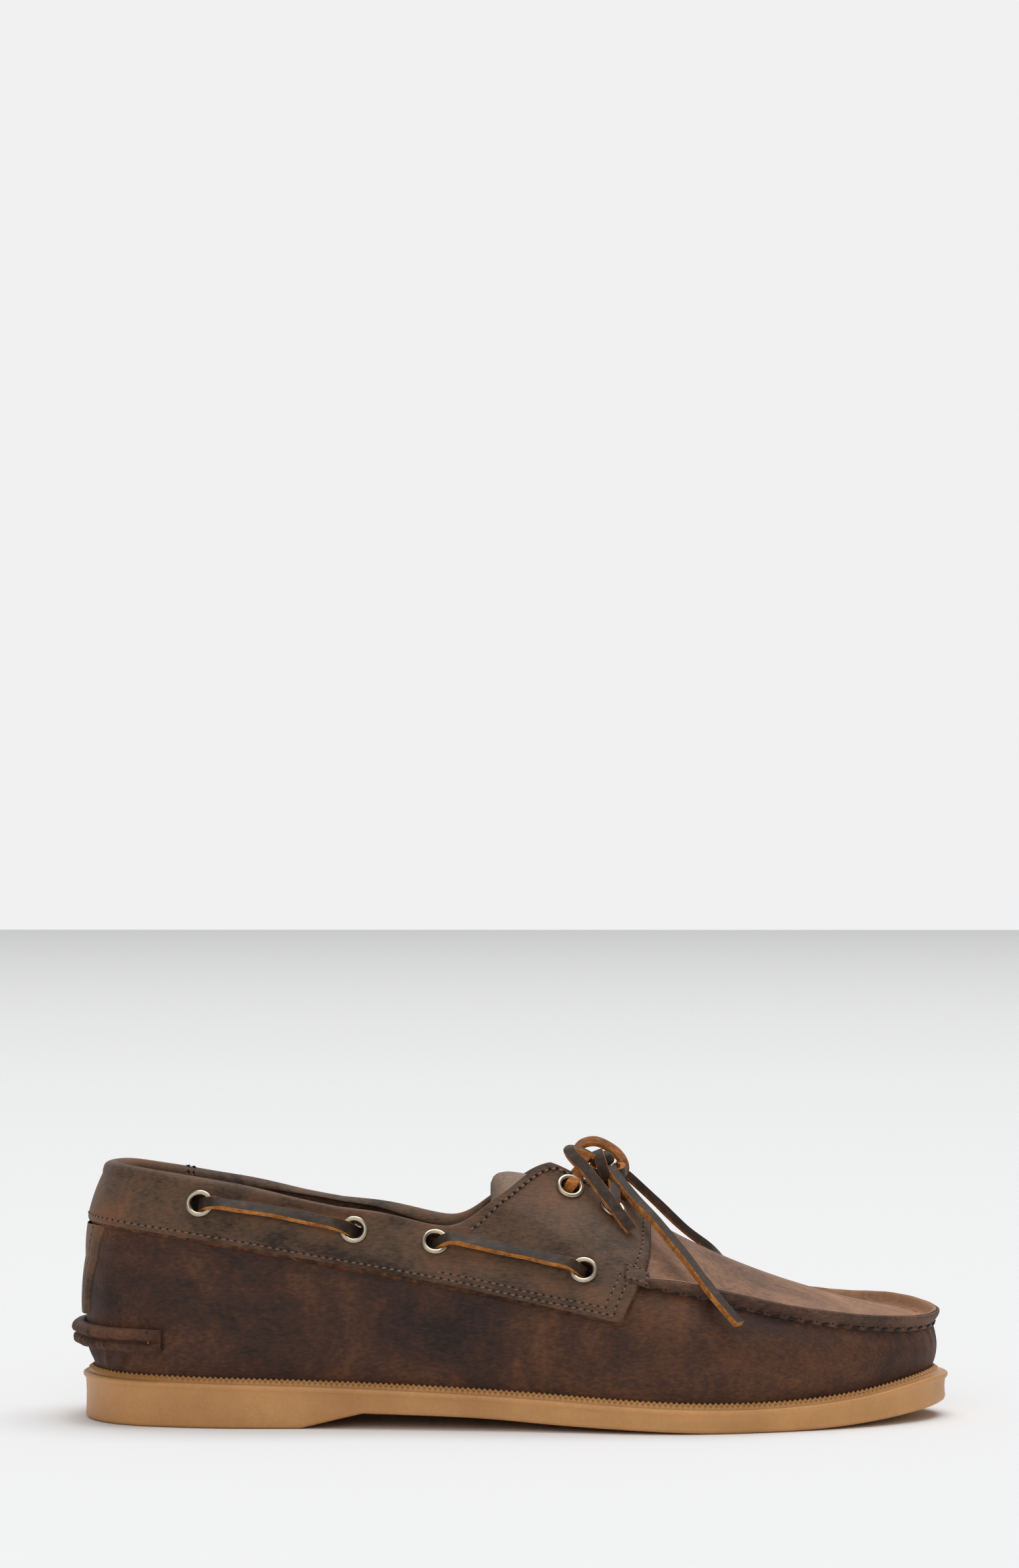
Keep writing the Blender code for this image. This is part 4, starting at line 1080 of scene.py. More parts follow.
# %% Upper
EYELET_PLACES = [
    frame_at(turn * side, level) for _, side in SIDES for turn, level in map(find_spot, EYELETS)
]
HOLE_CLEAR = EYELET_FLANGE / 2.0 - 0.0009
HOLE_DEPTH = 0.004
PUCKER_PITCH = 0.0058
PUCKER_REACH = 0.0085
WRAP_PUCKER = 0.00020
PLUG_PUCKER = 0.00010
EDGE_ROUND = 0.0003
HEEL_ROLL_LEVEL = level_at_rise(0.0, HEEL_ROLL_RISE)
HEEL_PUCKER_TURN = 0.030
HEEL_PUCKER_SIZE = 0.00070


def heel_pucker(turn, level):
    """Slanting gathers between the rolled heel seam and the sole."""
    if abs(turn) > HEEL_ROLL_END + 0.04 or level > HEEL_ROLL_LEVEL:
        return 0.0
    below = 1.0 - level / HEEL_ROLL_LEVEL
    phase = abs(turn) / HEEL_PUCKER_TURN + below * 1.1
    wave = math.cos(math.tau * phase) + 0.4 * math.cos(math.tau * phase * 1.7 + 0.8)
    fade = math.sin(math.pi * min(below * 1.15, 1.0)) * ramp(HEEL_ROLL_END + 0.04 - abs(turn), 0.0, 0.05)
    return HEEL_PUCKER_SIZE * wave * fade


def toe_turns(count, inset=0.0):
    """Even turns along the moccasin seam, from the lateral eyestay round the toe."""
    first = SEAM_START + inset
    return [first + (2.0 - 2.0 * first) * share for share in shares(count)]


SEAM_WALK = walk([smooth_leather(turn, 0.5) for turn in toe_turns(400)])


def walked_at(turn):
    """Way along the moccasin seam at a turn, from the lateral eyestay round the toe."""
    turn = turn if turn > 0.0 else turn + 2.0
    last = len(SEAM_WALK) - 1
    place = min(max((turn - SEAM_START) / (2.0 - 2.0 * SEAM_START), 0.0), 1.0) * last
    index = min(int(place), last - 1)
    return SEAM_WALK[index] + (SEAM_WALK[index + 1] - SEAM_WALK[index]) * (place - index)


def pucker(turn, level):
    """Gathers of the leather at the moccasin seam and under the rolled heel seam."""
    if abs(turn) < SEAM_START:
        return heel_pucker(turn, level)
    point = smooth_leather(turn, level)
    from_seam = (point - smooth_leather(turn, 0.5)).length
    if from_seam > PUCKER_REACH * 2.0:
        return 0.0
    phase = walked_at(turn) / PUCKER_PITCH
    wave = math.cos(math.tau * phase) + 0.35 * math.cos(math.tau * phase * 2.0 + 1.3)
    toe = 0.35 + 0.65 * ramp(abs(turn), 0.72, 0.98)
    reach = PUCKER_REACH * (0.5 if level > 0.5 else 1.0)
    size = PLUG_PUCKER if level > 0.5 else WRAP_PUCKER
    fade = math.exp(-((from_seam / reach) ** 2)) * ramp(abs(turn), SEAM_START, SEAM_START + 0.05)
    return size * toe * wave * fade


def eyelet_near(point, reach):
    """Whether a point of the leather lies within reach of an eyelet's axis."""
    for centre, normal, _ in EYELET_PLACES:
        away = point - centre
        depth = away.dot(normal)
        if abs(depth) < HOLE_DEPTH and (away - normal * depth).length < reach:
            return True
    return False


def punch(piece):
    """Takes away the faces under the eyelets' rings, so that the lace can pass."""
    made = bmesh.new()
    made.from_mesh(piece.data)
    back = SHOE.inverted()
    gone = [face for face in made.faces if eyelet_near(back @ face.calc_center_median(), HOLE_CLEAR)]
    bmesh.ops.delete(made, geom=gone, context="FACES")
    made.to_mesh(piece.data)
    made.free()
    print(piece.name, len(gone), "faces punched")


def paint(piece):
    """Writes the listed rubs to the mesh for its leather."""
    back = SHOE.inverted()
    layer = piece.data.attributes.new("rub", "FLOAT", "POINT")
    points = [back @ vert.co for vert in piece.data.vertices]
    layer.data.foreach_set("value", [marks_at(RUBS, point, point.y < 0.0) for point in points])


outer_levels = shares(58)
inner_levels = [1.0 - share for share in shares(16)]
sections = []
for turn in turns(UPPER_COLUMNS):
    section = []
    for level in outer_levels:
        point, normal, _ = frame_at(turn, level)
        section.append(point + normal * pucker(turn, level))
    section[0] = section[0] - Vector((0.0, 0.0, GAP * 2.0))
    edge, normal, up = frame_at(turn, 1.0)
    section += [edge + up * EDGE_ROUND - normal * WALL * share for share in (0.3, 0.7)]
    for level in inner_levels:
        point, normal, _ = frame_at(turn, level)
        section.append(point - normal * WALL)
    sections.append(section)
rows = len(sections[0]) - 1
outer_rows = len(outer_levels) - 1


def upper_finish(around, share):
    """Wrap below the moccasin seam, plug above it in front, lining inside."""
    row = share * rows
    if row > outer_rows + 1.5:
        return 2
    in_front = abs(around * 2.0 - 1.0) > SEAM_START
    return 1 if in_front and row > outer_rows / 2.0 else 0


upper = loft("upper_leather", sections, (WRAP, PLUG, LINING), upper_finish)
punch(upper)
paint(upper)
settle(upper, "brown_leather", "upper")

# %% [markdown]
# One long piece makes the collar band and both eyestays. It lies on the wrap, 1.4 mm thick,
# with a raw lower edge, and turns over a soft cord along the top line into a padded roll.
# Each section runs from the raw edge up the face and over the roll. Cutting it out of the
# upper's own surface would leave no edge to see.

# %% Side panel
PANEL_OUT = PANEL_GAP + PANEL_THICKNESS
FACE_ROWS = 44
TOP_ROWS = 18
# The raw lower edge slants: millimetres up the leather, share of the panel's height off it.
RAW_EDGE_SHAPE = ((0.0, 0.04), (0.15, 0.42), (0.55, 0.66), (1.05, 0.86), (1.6, 0.97), (2.0, 1.0))


def front_corner():
    """Turn at which the panel's front edge leaves its lower edge."""
    def past_corner(turn):
        along, rise = side_place(smooth_leather(turn, panel_start(turn)))
        return rise - profile_value(PANEL_LOWER_EDGE, along) >= 0.004
    return first_true(past_corner, 0.5, 0.75)


def smooth_line(points, count):
    """Points spread evenly by number along a curve through others."""
    line = []
    last = len(points) - 1
    for share in shares(count):
        place = share * last
        index = min(int(place), last - 1)
        line.append(Vector([hermite(*values, place - index) for values in zip(*four_round(points, index))]))
    return line


def panel_face(turn, level, lift=0.0):
    """Point on the panel's outer face and its direction out."""
    point, normal, up = frame_at(turn, level)
    return point + normal * (PANEL_OUT + lift), normal, up


def panel_section(turn):
    """Section from the raw edge up the face, over the roll and into the shoe."""
    low = panel_start(turn)
    millimetre = 0.001 / max((smooth_leather(turn, 1.0) - smooth_leather(turn, low)).length, 0.002)
    step = millimetre * (1.0 - low)
    section = []
    for steps_up, out_share in RAW_EDGE_SHAPE:
        point, normal, _ = frame_at(turn, min(low + step * steps_up, 1.0))
        section.append(point + normal * PANEL_OUT * out_share)
    top = []
    edge, normal, up = frame_at(turn, 1.0)
    along = ring_value(EDGE_RING, "along", turn)
    fade = ramp(along, ROLL_FADE_START, ROLL_FADE_END)
    for (roll_across, roll_up), (flat_across, flat_up) in zip(ROLL_SECTION, FLAT_SECTION):
        across = roll_across * COLLAR_ROLL_REACH * (1.0 - fade) + flat_across * PANEL_OUT * fade
        height = (roll_up * (1.0 - fade) + flat_up * fade) * COLLAR_ROLL_HEIGHT
        top.append(edge + normal * across + up * height)
    inside = edge - (normal * (WALL + 0.0004) + up * 0.0030) * (1.0 - fade)
    inside += (normal * 0.0002 - up * 0.0010) * fade
    last = 1.0 - 0.10 * (1.0 - low)
    face = []
    for share in shares(FACE_ROWS)[1:]:
        level = low + step * 2.2 + (last - low - step * 2.2) * share
        face.append(panel_face(turn, level)[0])
    return section + face + smooth_line([face[-1]] + top + [inside], TOP_ROWS)[1:]


corner = front_corner()
PANEL_PARTS = ((-PANEL_END, -corner, 70), (-corner, corner, 420), (corner, PANEL_END, 70))
sections = [panel_section(-PANEL_END)] + [
    panel_section(start + (end - start) * share)
    for start, end, count in PANEL_PARTS for share in shares(count)[1:]
]
rows = len(sections[0]) - 1
panel = loft("collar_and_eyestays", sections, (PANEL_LEATHER, RAW_EDGE),
             lambda around, share: 1 if share * rows < 3.0 else 0)
punch(panel)
paint(panel)
settle(panel, "brown_leather", "side_panel")


# %% [markdown]
# The moccasin seam stands up as a ridge: the edges of wrap and plug are pinched together and
# whipped by hand, so each stitch pulls the ridge in at its foot. Its section is swept round
# the toe and drawn in at every stitch.

# %% Moccasin seam
RIDGE_HEIGHT = SEAM_HEIGHT * 1.2
SEAM_OUTLINE = (
    (-0.62, -0.10), (-0.50, 0.12), (-0.48, 0.45), (-0.46, 0.78), (-0.34, 0.97), (-0.10, 1.02),
    (-0.02, 0.90), (0.06, 1.04), (0.30, 1.06), (0.46, 0.92), (0.52, 0.62), (0.50, 0.36), (0.46, 0.10),
    (0.66, -0.12),
)


def seam_frame(turn):
    """Point on the seam, direction outwards and direction up the ridge."""
    point = smooth_leather(turn, 0.5)
    around = (smooth_leather(turn + TURN_STEP, 0.5) - smooth_leather(turn - TURN_STEP, 0.5)).normalized()
    above = smooth_leather(turn, 0.51) - point
    below = point - smooth_leather(turn, 0.49)
    up = (around.cross(above).normalized() + around.cross(below).normalized() * SEAM_LEAN).normalized()
    return point, around.cross(up).normalized(), up, around


def seam_section(turn):
    """Section of the ridge, drawn in where a stitch passes through its foot."""
    point, out, up, _ = seam_frame(turn)
    phase = walked_at(turn) / PUCKER_PITCH
    pull = 0.5 + 0.5 * math.cos(math.tau * phase)
    ends = min(ramp(abs(turn), SEAM_START - 0.002, SEAM_START + 0.03), 1.0)
    waver = 1.0 + 0.016 * math.sin(phase * 1.3) + 0.008 * math.sin(phase * 4.3)
    line = []
    for across, height in SEAM_OUTLINE:
        foot = math.exp(-((height - 0.15) / 0.3) ** 2)
        width = across * SEAM_WIDTH * (1.0 - 0.10 * pull * foot) * (0.6 + 0.4 * ends)
        line.append(point + out * width + up * (height * RIDGE_HEIGHT * waver * (0.75 + 0.25 * ends)))
    return smooth_line(line, 26)


sections = [seam_section(turn if turn <= 1.0 else turn - 2.0) for turn in toe_turns(560)]
moc_seam = loft("moccasin_ridge", sections, (PLUG, RIDGE_FACE, RAW_EDGE),
                lambda _, share: 0 if share < 0.40 else (2 if share < 0.50 else 1))
paint(moc_seam)
settle(moc_seam, "brown_leather", "moc_seam")

# %% [markdown]
# At the back a tapered strip covers the wrap's back seam, and below it the wrap is gathered
# into a rolled seam with two lips. Both follow the heel's curve, so they are swept from
# sections that stand square on the leather.

# %% Backstay and rolled heel seam
STAY_OUT = GAP * 1.5 + BACKSTAY_THICKNESS
# The strip's edge is skived: shares of its thickness, column by column from the edge.
STAY_EDGE = (0.05, 0.72, 0.96, 1.0)


def stay_rise(share):
    """Rise at a share of the backstay's height."""
    return BACKSTAY_ROWS[0].rise + (BACKSTAY_ROWS[-1].rise - BACKSTAY_ROWS[0].rise) * share


stay_low = level_at_rise(0.0, BACKSTAY_ROWS[0].rise - 0.03)
stay_high = level_at_rise(0.0, BACKSTAY_ROWS[-1].rise + 0.03)
sections = []
for share in shares(48):
    level = stay_low + (stay_high - stay_low) * share
    half = profile_value(BACKSTAY_ROWS, stay_rise(share))
    line = []
    for across in shares(36):
        turn = half * (across * 2.0 - 1.0)
        point, normal, _ = frame_at(turn, level)
        from_edge = min(int(min(across, 1.0 - across) * 36.0), len(STAY_EDGE) - 1)
        line.append(point + normal * STAY_OUT * STAY_EDGE[from_edge])
    sections.append(line)
backstay = loft("back_strip", sections, (PANEL_LEATHER,))
paint(backstay)
settle(backstay, "brown_leather", "backstay")


def heel_roll_section(turn):
    """Two lips with a groove between them, gathered from below."""
    level = level_at_rise(turn, HEEL_ROLL_RISE)
    point, normal, up = frame_at(turn, level)
    walk = turn * 210.0
    fade = ramp(HEEL_ROLL_END - abs(turn), -0.002, 0.012)
    line = []
    for across, height in HEEL_ROLL_SECTION:
        wave = 1.0 + 0.07 * math.sin(walk + height * 3.0) + 0.05 * math.sin(walk * 2.7 + height * 9.0)
        reach = (GAP + across * HEEL_ROLL_THICKNESS * wave) * (0.55 + 0.45 * fade)
        line.append(point + normal * reach + up * height * HEEL_ROLL_HEIGHT * (0.94 + 0.06 * fade))
    return smooth_line(line, 30)


sections = [heel_roll_section(turn) for turn in turns(240, HEEL_ROLL_END)]
heel_roll = loft("rolled_heel_seam", sections, (WRAP,), ends=True)
paint(heel_roll)
settle(heel_roll, "brown_leather", "heel_roll")

# %% [markdown]
# The tongue is a single soft piece, sewn under the plug's rear edge and standing up behind
# the eyestays. The sock lies over the insole board.

# %% Tongue and sock
# Way up the tongue at which it begins to narrow, how round its tip is, and how its top curls.
TONGUE_ROUND = 0.80
TONGUE_TIP = 0.93
TONGUE_CURL_START = 0.945
TONGUE_CURL = 0.0030
TONGUE_EDGE = Vector((0.0, 0.0004, 0.0))


def tongue_point(way, side):
    """Outer face of the tongue: way 0 under the plug, 1 at the top, side -1 to 1."""
    crest, drop, half = [
        profile_value([(row.way, getattr(row, column)) for row in TONGUE_ROWS], way) * size
        for column, size in (("crest", INSTEP_HEIGHT), ("drop", INSTEP_HEIGHT), ("width", TONGUE_WIDTH / 2.0))
    ]
    rounding = max(way - TONGUE_ROUND, 0.0) / (1.0 - TONGUE_ROUND) * TONGUE_TIP
    half *= math.sqrt(1.0 - rounding ** 2)
    curl = max(way - TONGUE_CURL_START, 0.0) / (1.0 - TONGUE_CURL_START)
    crest -= TONGUE_CURL * (1.0 - math.sqrt(max(1.0 - curl * curl, 0.0)))
    x = TONGUE_FRONT + (TONGUE_TOP - TONGUE_FRONT) * way
    return Vector((x, side * half, sole_top(x) + crest - drop * side * side))


sections = []
for way in shares(60):
    outer = [tongue_point(way, side * 2.0 - 1.0) for side in shares(40)]
    thin = TONGUE_THICKNESS * (1.0 if 0.02 < way < 0.99 else 0.7)
    down = Vector((0.45, 0.0, -1.0)).normalized() * thin
    inner = [point + down for point in outer]
    edge_left = outer[0] + down * 0.5 - TONGUE_EDGE
    edge_right = outer[-1] + down * 0.5 + TONGUE_EDGE
    sections.append(outer + [edge_right] + inner[::-1] + [edge_left])
tongue = loft("tongue_leather", sections, (TONGUE_LEATHER, CUT_EDGE), closed=True, ends=True)
settle(tongue, "brown_leather", "tongue")

sock_inset = WALL + GAP * 2.0
sections = []
for turn in turns(200):
    rim = outline_point(turn, -sock_inset)
    middle_y = (rim.y + outline_point(-turn, -sock_inset).y) / 2.0
    floor_z = sole_top(rim.x) + GAP
    line = [Vector((rim.x, rim.y, floor_z + INSOLE_THICKNESS * share)) for share in (0.0, 0.8)]
    for share in shares(10):
        y = rim.y + (middle_y - rim.y) * (0.02 + 0.98 * share)
        line.append(Vector((rim.x, y, floor_z + INSOLE_THICKNESS)))
    sections.append(line)
sock = loft("sock_leather", sections, (SOCK,))
settle(sock, "sock_leather", "insole")

# %% [markdown]
# The gum rubber sole is one moulding: a welt whose top slopes to a beaded lip, saw teeth
# along its inner edge, a plain side, a heel block with a slanted breast, a low arch and a
# toe that springs up. Each section runs from under the upper over the welt and the lip, down
# the side and under to the middle of the foot.

# %% Outsole
TOOTH_PITCH = 0.00185


def sole_section(turn):
    """Section of the sole, from under the upper to the middle of the tread."""
    wide = margin(turn)

    def at(inset, height):
        point = outline_point(turn, wide - inset)
        return Vector((point.x, point.y, height(point.x)))

    def lip(x):
        return sole_top(x) - LIP_DROP

    side_in = LIP_STEP
    line = [
        at(wide + 0.0035, lambda x: sole_top(x) - 0.0002),
        at(wide + 0.0004, lambda x: sole_top(x) - 0.0002),
        at(wide - 0.0006, lambda x: sole_top(x) + 0.0003),
        at(wide - 0.0016, lambda x: sole_top(x) + 0.0001),
        at((wide + LIP_WIDTH) * 0.5, lambda x: (sole_top(x) + lip(x) + LIP_WIDTH * 0.5) * 0.5 - 0.0002),
        at(LIP_WIDTH * 1.5, lambda x: lip(x) + LIP_WIDTH * 0.42),
        at(LIP_WIDTH * 1.1, lambda x: lip(x) + LIP_WIDTH * 0.52),
        at(LIP_WIDTH * 0.6, lambda x: lip(x) + LIP_WIDTH * 0.55),
        at(LIP_WIDTH * 0.2, lambda x: lip(x) + LIP_WIDTH * 0.30),
        at(0.0, lambda x: lip(x) - LIP_WIDTH * 0.15),
        at(0.0001, lambda x: lip(x) - LIP_WIDTH * 0.7),
        at(side_in * 0.6, lambda x: lip(x) - LIP_WIDTH * 1.1),
        at(side_in * 1.05, lambda x: lip(x) - LIP_WIDTH - LIP_STEP * 0.8),
        at(side_in * 1.25, lambda x: lip(x) * 0.66 + sole_bottom(x) * 0.34 - 0.001),
        at(side_in * 1.2, lambda x: lip(x) * 0.33 + sole_bottom(x) * 0.67),
        at(side_in, lambda x: sole_bottom(x) + SOLE_BEVEL * 1.2),
        at(side_in + SOLE_BEVEL * 0.25, lambda x: sole_bottom(x) + SOLE_BEVEL * 0.4),
        at(side_in + SOLE_BEVEL * 0.9, lambda x: sole_bottom(x) + 0.0001),
    ]
    edge = outline_point(turn, wide - side_in - SOLE_BEVEL * 1.5)
    other = outline_point(-turn, wide - side_in - SOLE_BEVEL * 1.5)
    for share in shares(8)[1:]:
        y = edge.y + ((edge.y + other.y) / 2.0 - edge.y) * share
        line.append(Vector((edge.x, y, sole_bottom(edge.x))))
    return line


sections = [sole_section(turn) for turn in turns(SOLE_COLUMNS)]
sole = loft("gum_sole", sections, (RUBBER,))
settle(sole, "gum_rubber", "outsole")

steps = turns(1600)
walked = walk([ring_point(FEATHER_RING, turn) for turn in steps])
teeth = bmesh.new()
for index, share in even_places(walked, middles(walked[-1], round(walked[-1] / TOOTH_PITCH))):
    turn = steps[index] + (steps[index + 1] - steps[index]) * share
    base = outline_point(turn, 0.0010)
    ahead = (outline_point(turn + 0.003, 0.0007) - outline_point(turn - 0.003, 0.0007)).normalized()
    out = Vector((ahead.y, -ahead.x, 0.0))
    axes = Matrix((ahead, out, Vector((0.0, 0.0, 1.0)))).transposed().to_4x4()
    place = Matrix.Translation(Vector((base.x, base.y, sole_top(base.x) + 0.0004))) @ axes
    bmesh.ops.create_cone(
        teeth, cap_ends=True, segments=4, radius1=TOOTH_PITCH * 0.60, radius2=0.0001, depth=0.0009,
        matrix=place @ Matrix.Diagonal((1.0, 1.25, 1.0, 1.0)) @ Matrix.Translation((0.0, 0.0, 0.0001)),
    )
welt_teeth = show(mesh_from(teeth, "welt_teeth", smooth=False), "welt_teeth", [RUBBER])
settle(welt_teeth, "gum_rubber")

# %% [markdown]
# Eyelets are turned brass rings, nickel plated, pressed through panel and wrap from outside.
# One profile is spun once for each of the twelve and joined, as they are all alike.

# %% Eyelets
hole = EYELET_HOLE / 2.0
flange = EYELET_FLANGE / 2.0
ring_middle = (hole + flange) / 2.0
ring_half = (flange - hole) / 2.0
EYELET_PROFILE = [
    (flange - 0.0003, -0.0002),
    *[(ring_middle + ring_half * math.cos(angle), EYELET_SEAT + EYELET_RISE * math.sin(angle))
      for angle in (math.pi * share for share in shares(10))],
    (hole, -0.0010),
    (hole + 0.0001, -0.0038),
]
rings = bmesh.new()
for centre, normal, _ in EYELET_PLACES:
    facing = normal.to_track_quat("Z", "Y").to_matrix().to_4x4()
    place = Matrix.Translation(centre + normal * PANEL_OUT) @ facing
    points = [rings.verts.new(place @ Vector((radius, 0.0, height))) for radius, height in EYELET_PROFILE]
    edges = [rings.edges.new(pair) for pair in zip(points, points[1:])]
    bmesh.ops.spin(
        rings, geom=points + edges, cent=place.translation, axis=normal, angle=math.tau, steps=48,
        use_merge=True,
    )
bmesh.ops.recalc_face_normals(rings, faces=rings.faces)
eyelets = show(mesh_from(rings, "eyelet_rings"), "eyelet_rings", [NICKEL])
settle(eyelets, "nickel", *["eyelet_%s_%d" % (word, number) for word, _ in SIDES for number in range(1, 7)])

# %% [markdown]
# Along the collar the lace comes out of eyelet 1 and goes in at 2, comes out of 3 and goes
# in at 4. It stands a little off the leather, and its grain side leans upwards, so that the
# raw lower edge shows below it.

# %% Lace along the collar
# How far a bar's face leans upwards, in radians, its width, and how deep its ends go in.
BAR_LEAN = 0.50
BAR_WIDTH = 0.0042
BAR_INSIDE = 0.0042


def collar_bar(name, first, last, side):
    """Lace strip between two eyelets, with its ends bent into their holes."""
    start, end = EYELETS[first], EYELETS[last]
    rows = []
    for share in shares(14):
        along = start.along + (end.along - start.along) * (0.012 + 0.976 * share)
        bow = LACE_BOW * math.sin(math.pi * share)
        rise = start.rise + (end.rise - start.rise) * share + bow
        turn, level = find_spot(Spot(along, rise))
        point, normal, up = frame_at(turn * side, level)
        near = min(share, 1.0 - share)
        lift = 0.0004 + 0.0013 * math.exp(-((near - 0.085) / 0.07) ** 2)
        lift += -0.0030 * math.exp(-(near / 0.022) ** 2)
        lean = BAR_LEAN * ramp(near, 0.02, 0.16)
        out = (normal * math.cos(lean) + up * math.sin(lean)).normalized()
        place = point + normal * (PANEL_OUT + LACE_THICKNESS / 2.0 + lift + BAR_WIDTH * 0.35 * math.sin(lean))
        rows.append(Lay(*place, *out))
    for number, spot_end in ((0, first), (-1, last)):
        turn, level = find_spot(EYELETS[spot_end])
        centre, normal, _ = frame_at(turn * side, level)
        nearest = rows[number]
        ahead = (Vector(rows[1 if number == 0 else -2][:3]) - Vector(nearest[:3])).normalized()
        back = ahead * -1.0
        inner = centre - normal * BAR_INSIDE + ahead * 0.0002
        middle = centre - normal * 0.0006 + ahead * 0.0004
        add = [Lay(*inner, *back), Lay(*middle, *(back * 0.8 + normal * 0.3).normalized())]
        rows = add + rows if number == 0 else rows + add[::-1]
    return strip(name, rows, step=FINE_STRIP_STEP, width=BAR_WIDTH, thickness=LACE_THICKNESS)[0]


for word, side in SIDES:
    for place, first, last in (("rear", 0, 1), ("front", 2, 3)):
        bar = collar_bar("collar_lace_%s_%s" % (word, place), first, last, side)
        settle(bar, "rawhide", "lace_bar_%s_%s" % (word, place))

# %% Lace between the top eyelets


def crossing(name, number, side, under, finishes):
    """Lace strip from a top eyelet to the knot."""
    turn, level = find_spot(EYELETS[number])
    centre, out, _ = frame_at(turn * side, level)
    goal = Vector(KNOT_CENTRE) + Vector(under)
    lift = centre + out * (PANEL_OUT + 0.0026)
    across = (goal - lift).normalized()
    up = Vector((0.0, 0.0, 1.0))
    rows = [Lay(*place, *facing.normalized()) for place, facing in (
        (centre - out * 0.0040 - across * 0.0004, -across),
        (centre + out * (PANEL_OUT - 0.0002) - across * 0.0001, out * 0.3 - across * 0.8),
        (centre + out * (PANEL_OUT + 0.0022) + across * 0.0022, out * 0.9 + up * 0.4),
        (lift.lerp(goal, 0.55) + up * 0.0012, out * 0.6 + up * 0.7),
        (goal, out * 0.3 + up * 0.9),
    )]
    return strip(name, rows, step=FINE_STRIP_STEP, finishes=finishes)[0]


# The strand at eyelet 5 shows its raw side, so all its faces are given the raw hide's colours.
FLESH_OUT = (CUT_EDGE, LACE_FLESH, CUT_EDGE)
for number, under, finishes in (
    (4, (-0.0050, 0.0, -0.0035), FLESH_OUT),
    (5, (0.0030, 0.0, -0.0060), LACE_FINISHES),
):
    for word, side in SIDES:
        shift = (under[0], -0.0022 * side, under[2])
        piece = crossing("crossing_%s_%d" % (word, number + 1), number, side, shift, finishes)
        settle(piece, "rawhide", "lace_crossing")

# %% [markdown]
# Stitches: waxed thread sunk a little into the leather, with a dark dot of painted shade for the needle hole
# at each end.
# A run of stitches is one joined mesh, copied at a pitch measured along its line.

# %% Stitches


def walk_line(points, pitch):
    """Places at an even pitch along a line of (point, normal) pairs."""
    walked = walk([point for point, _ in points])
    places = []
    for index, share in even_places(walked, middles(walked[-1], max(int(walked[-1] / pitch), 1))):
        (a, normal_a), (b, normal_b) = points[index], points[index + 1]
        places.append((a.lerp(b, share), normal_a.lerp(normal_b, share).normalized(), (b - a).normalized()))
    return places


def stitch_run(name, points, pitch=0.0026, long=0.62, thick=0.00055, thread=THREAD, slant=0.18,
               dark=0.00042):
    """Row of stitches with a dark dot of painted shade for each needle hole: long and slant as shares, dark
    the dot's depth.
    """
    run = bmesh.new()
    for point, normal, ahead in walk_line(points, pitch):
        side = normal.cross(ahead).normalized()
        ahead = (ahead + side * slant).normalized()
        side = normal.cross(ahead).normalized()
        axes = Matrix((ahead, side, normal)).transposed().to_4x4()
        place = Matrix.Translation(point + normal * thick * 0.05) @ axes
        bmesh.ops.create_uvsphere(
            run, u_segments=8, v_segments=5, radius=0.5,
            matrix=place @ Matrix.Diagonal((pitch * long, thick * 1.25, thick, 1.0)),
        )
        # The needle hole is a flat dark dot of painted shade, not a cut hole.
        hole_shade_place = Matrix.Translation(point + ahead * pitch * 0.5 - normal * dark * 0.18) @ axes
        first = len(run.faces)
        bmesh.ops.create_uvsphere(
            run, u_segments=8, v_segments=4, radius=0.5,
            matrix=hole_shade_place @ Matrix.Diagonal((dark * 2.1, dark * 2.1, dark, 1.0)),
        )
        run.faces.ensure_lookup_table()
        for face in run.faces[first:]:
            face.material_index = 1
    piece = show(mesh_from(run, name), name, [thread, NEEDLE_HOLE_SHADE])
    settle(piece, "brown_leather")


def edge_line(inset, first, last, count):
    """Line on the panel's face, set in from its raw edge."""
    line = []
    for share in shares(count):
        turn = first + (last - first) * share
        level = panel_start(turn, inset)
        if level < 0.999:
            line.append(panel_face(turn, level)[:2])
    return line


# The face is hollow along the top of the eyestay, and its stitches lie on it all the same.
TOP_STITCH_LIFT = 0.00025


def top_line(inset, first, last, count=240):
    """Line on the panel's face, set in square to its top edge."""
    line = []
    for share in shares(count):
        turn = first + (last - first) * share
        edge, _, up = frame_at(turn, 1.0)
        along = (frame_at(turn + TURN_STEP, 1.0)[0] - frame_at(turn - TURN_STEP, 1.0)[0]).normalized()
        height = (smooth_leather(turn, 1.0) - smooth_leather(turn, 0.9)).length
        level = 1.0 - 0.1 * inset / height / max(along.cross(up).length, 0.3)
        point, normal, _ = panel_face(turn, level)
        line.append((point + normal * TOP_STITCH_LIFT, normal))
    return line


def turn_of(along, rise):
    """Turn at which a place in the side view lies."""
    return find_spot(Spot(along, rise))[0]


BAND_END = 0.862
stitch_run("lower_edge_stitches", edge_line(0.0030, -BAND_END, BAND_END, 1600))
inner_start = turn_of(0.406, 0.578)
for word, side in SIDES:
    inner = [
        place for place in edge_line(0.0054, side * inner_start, side * 0.80, 900)
        if side_place(place[0])[1] < 0.60
    ]
    stitch_run("inner_stitches_" + word, inner)
    first, last = turn_of(0.4415, 0.76), turn_of(0.64, 0.86)
    line = top_line(0.0022, side * first, side * last)
    stitch_run("eyestay_stitches_" + word, line, thick=0.0007, dark=0.0006)

# The collar's lining is closed by a short sewn join across the roll on the medial side.
join_turn = -turn_of(0.0996, 0.90)
middle = frame_at(join_turn, 1.0)[0]
for number, step in ((1, -0.0045), (2, 0.0045)):
    over = panel_section(join_turn + step)[-16:-3]
    line = [(point, (point - middle).normalized()) for point in over]
    stitch_run("collar_join_%d" % number, line, pitch=0.0022, dark=0.0006)

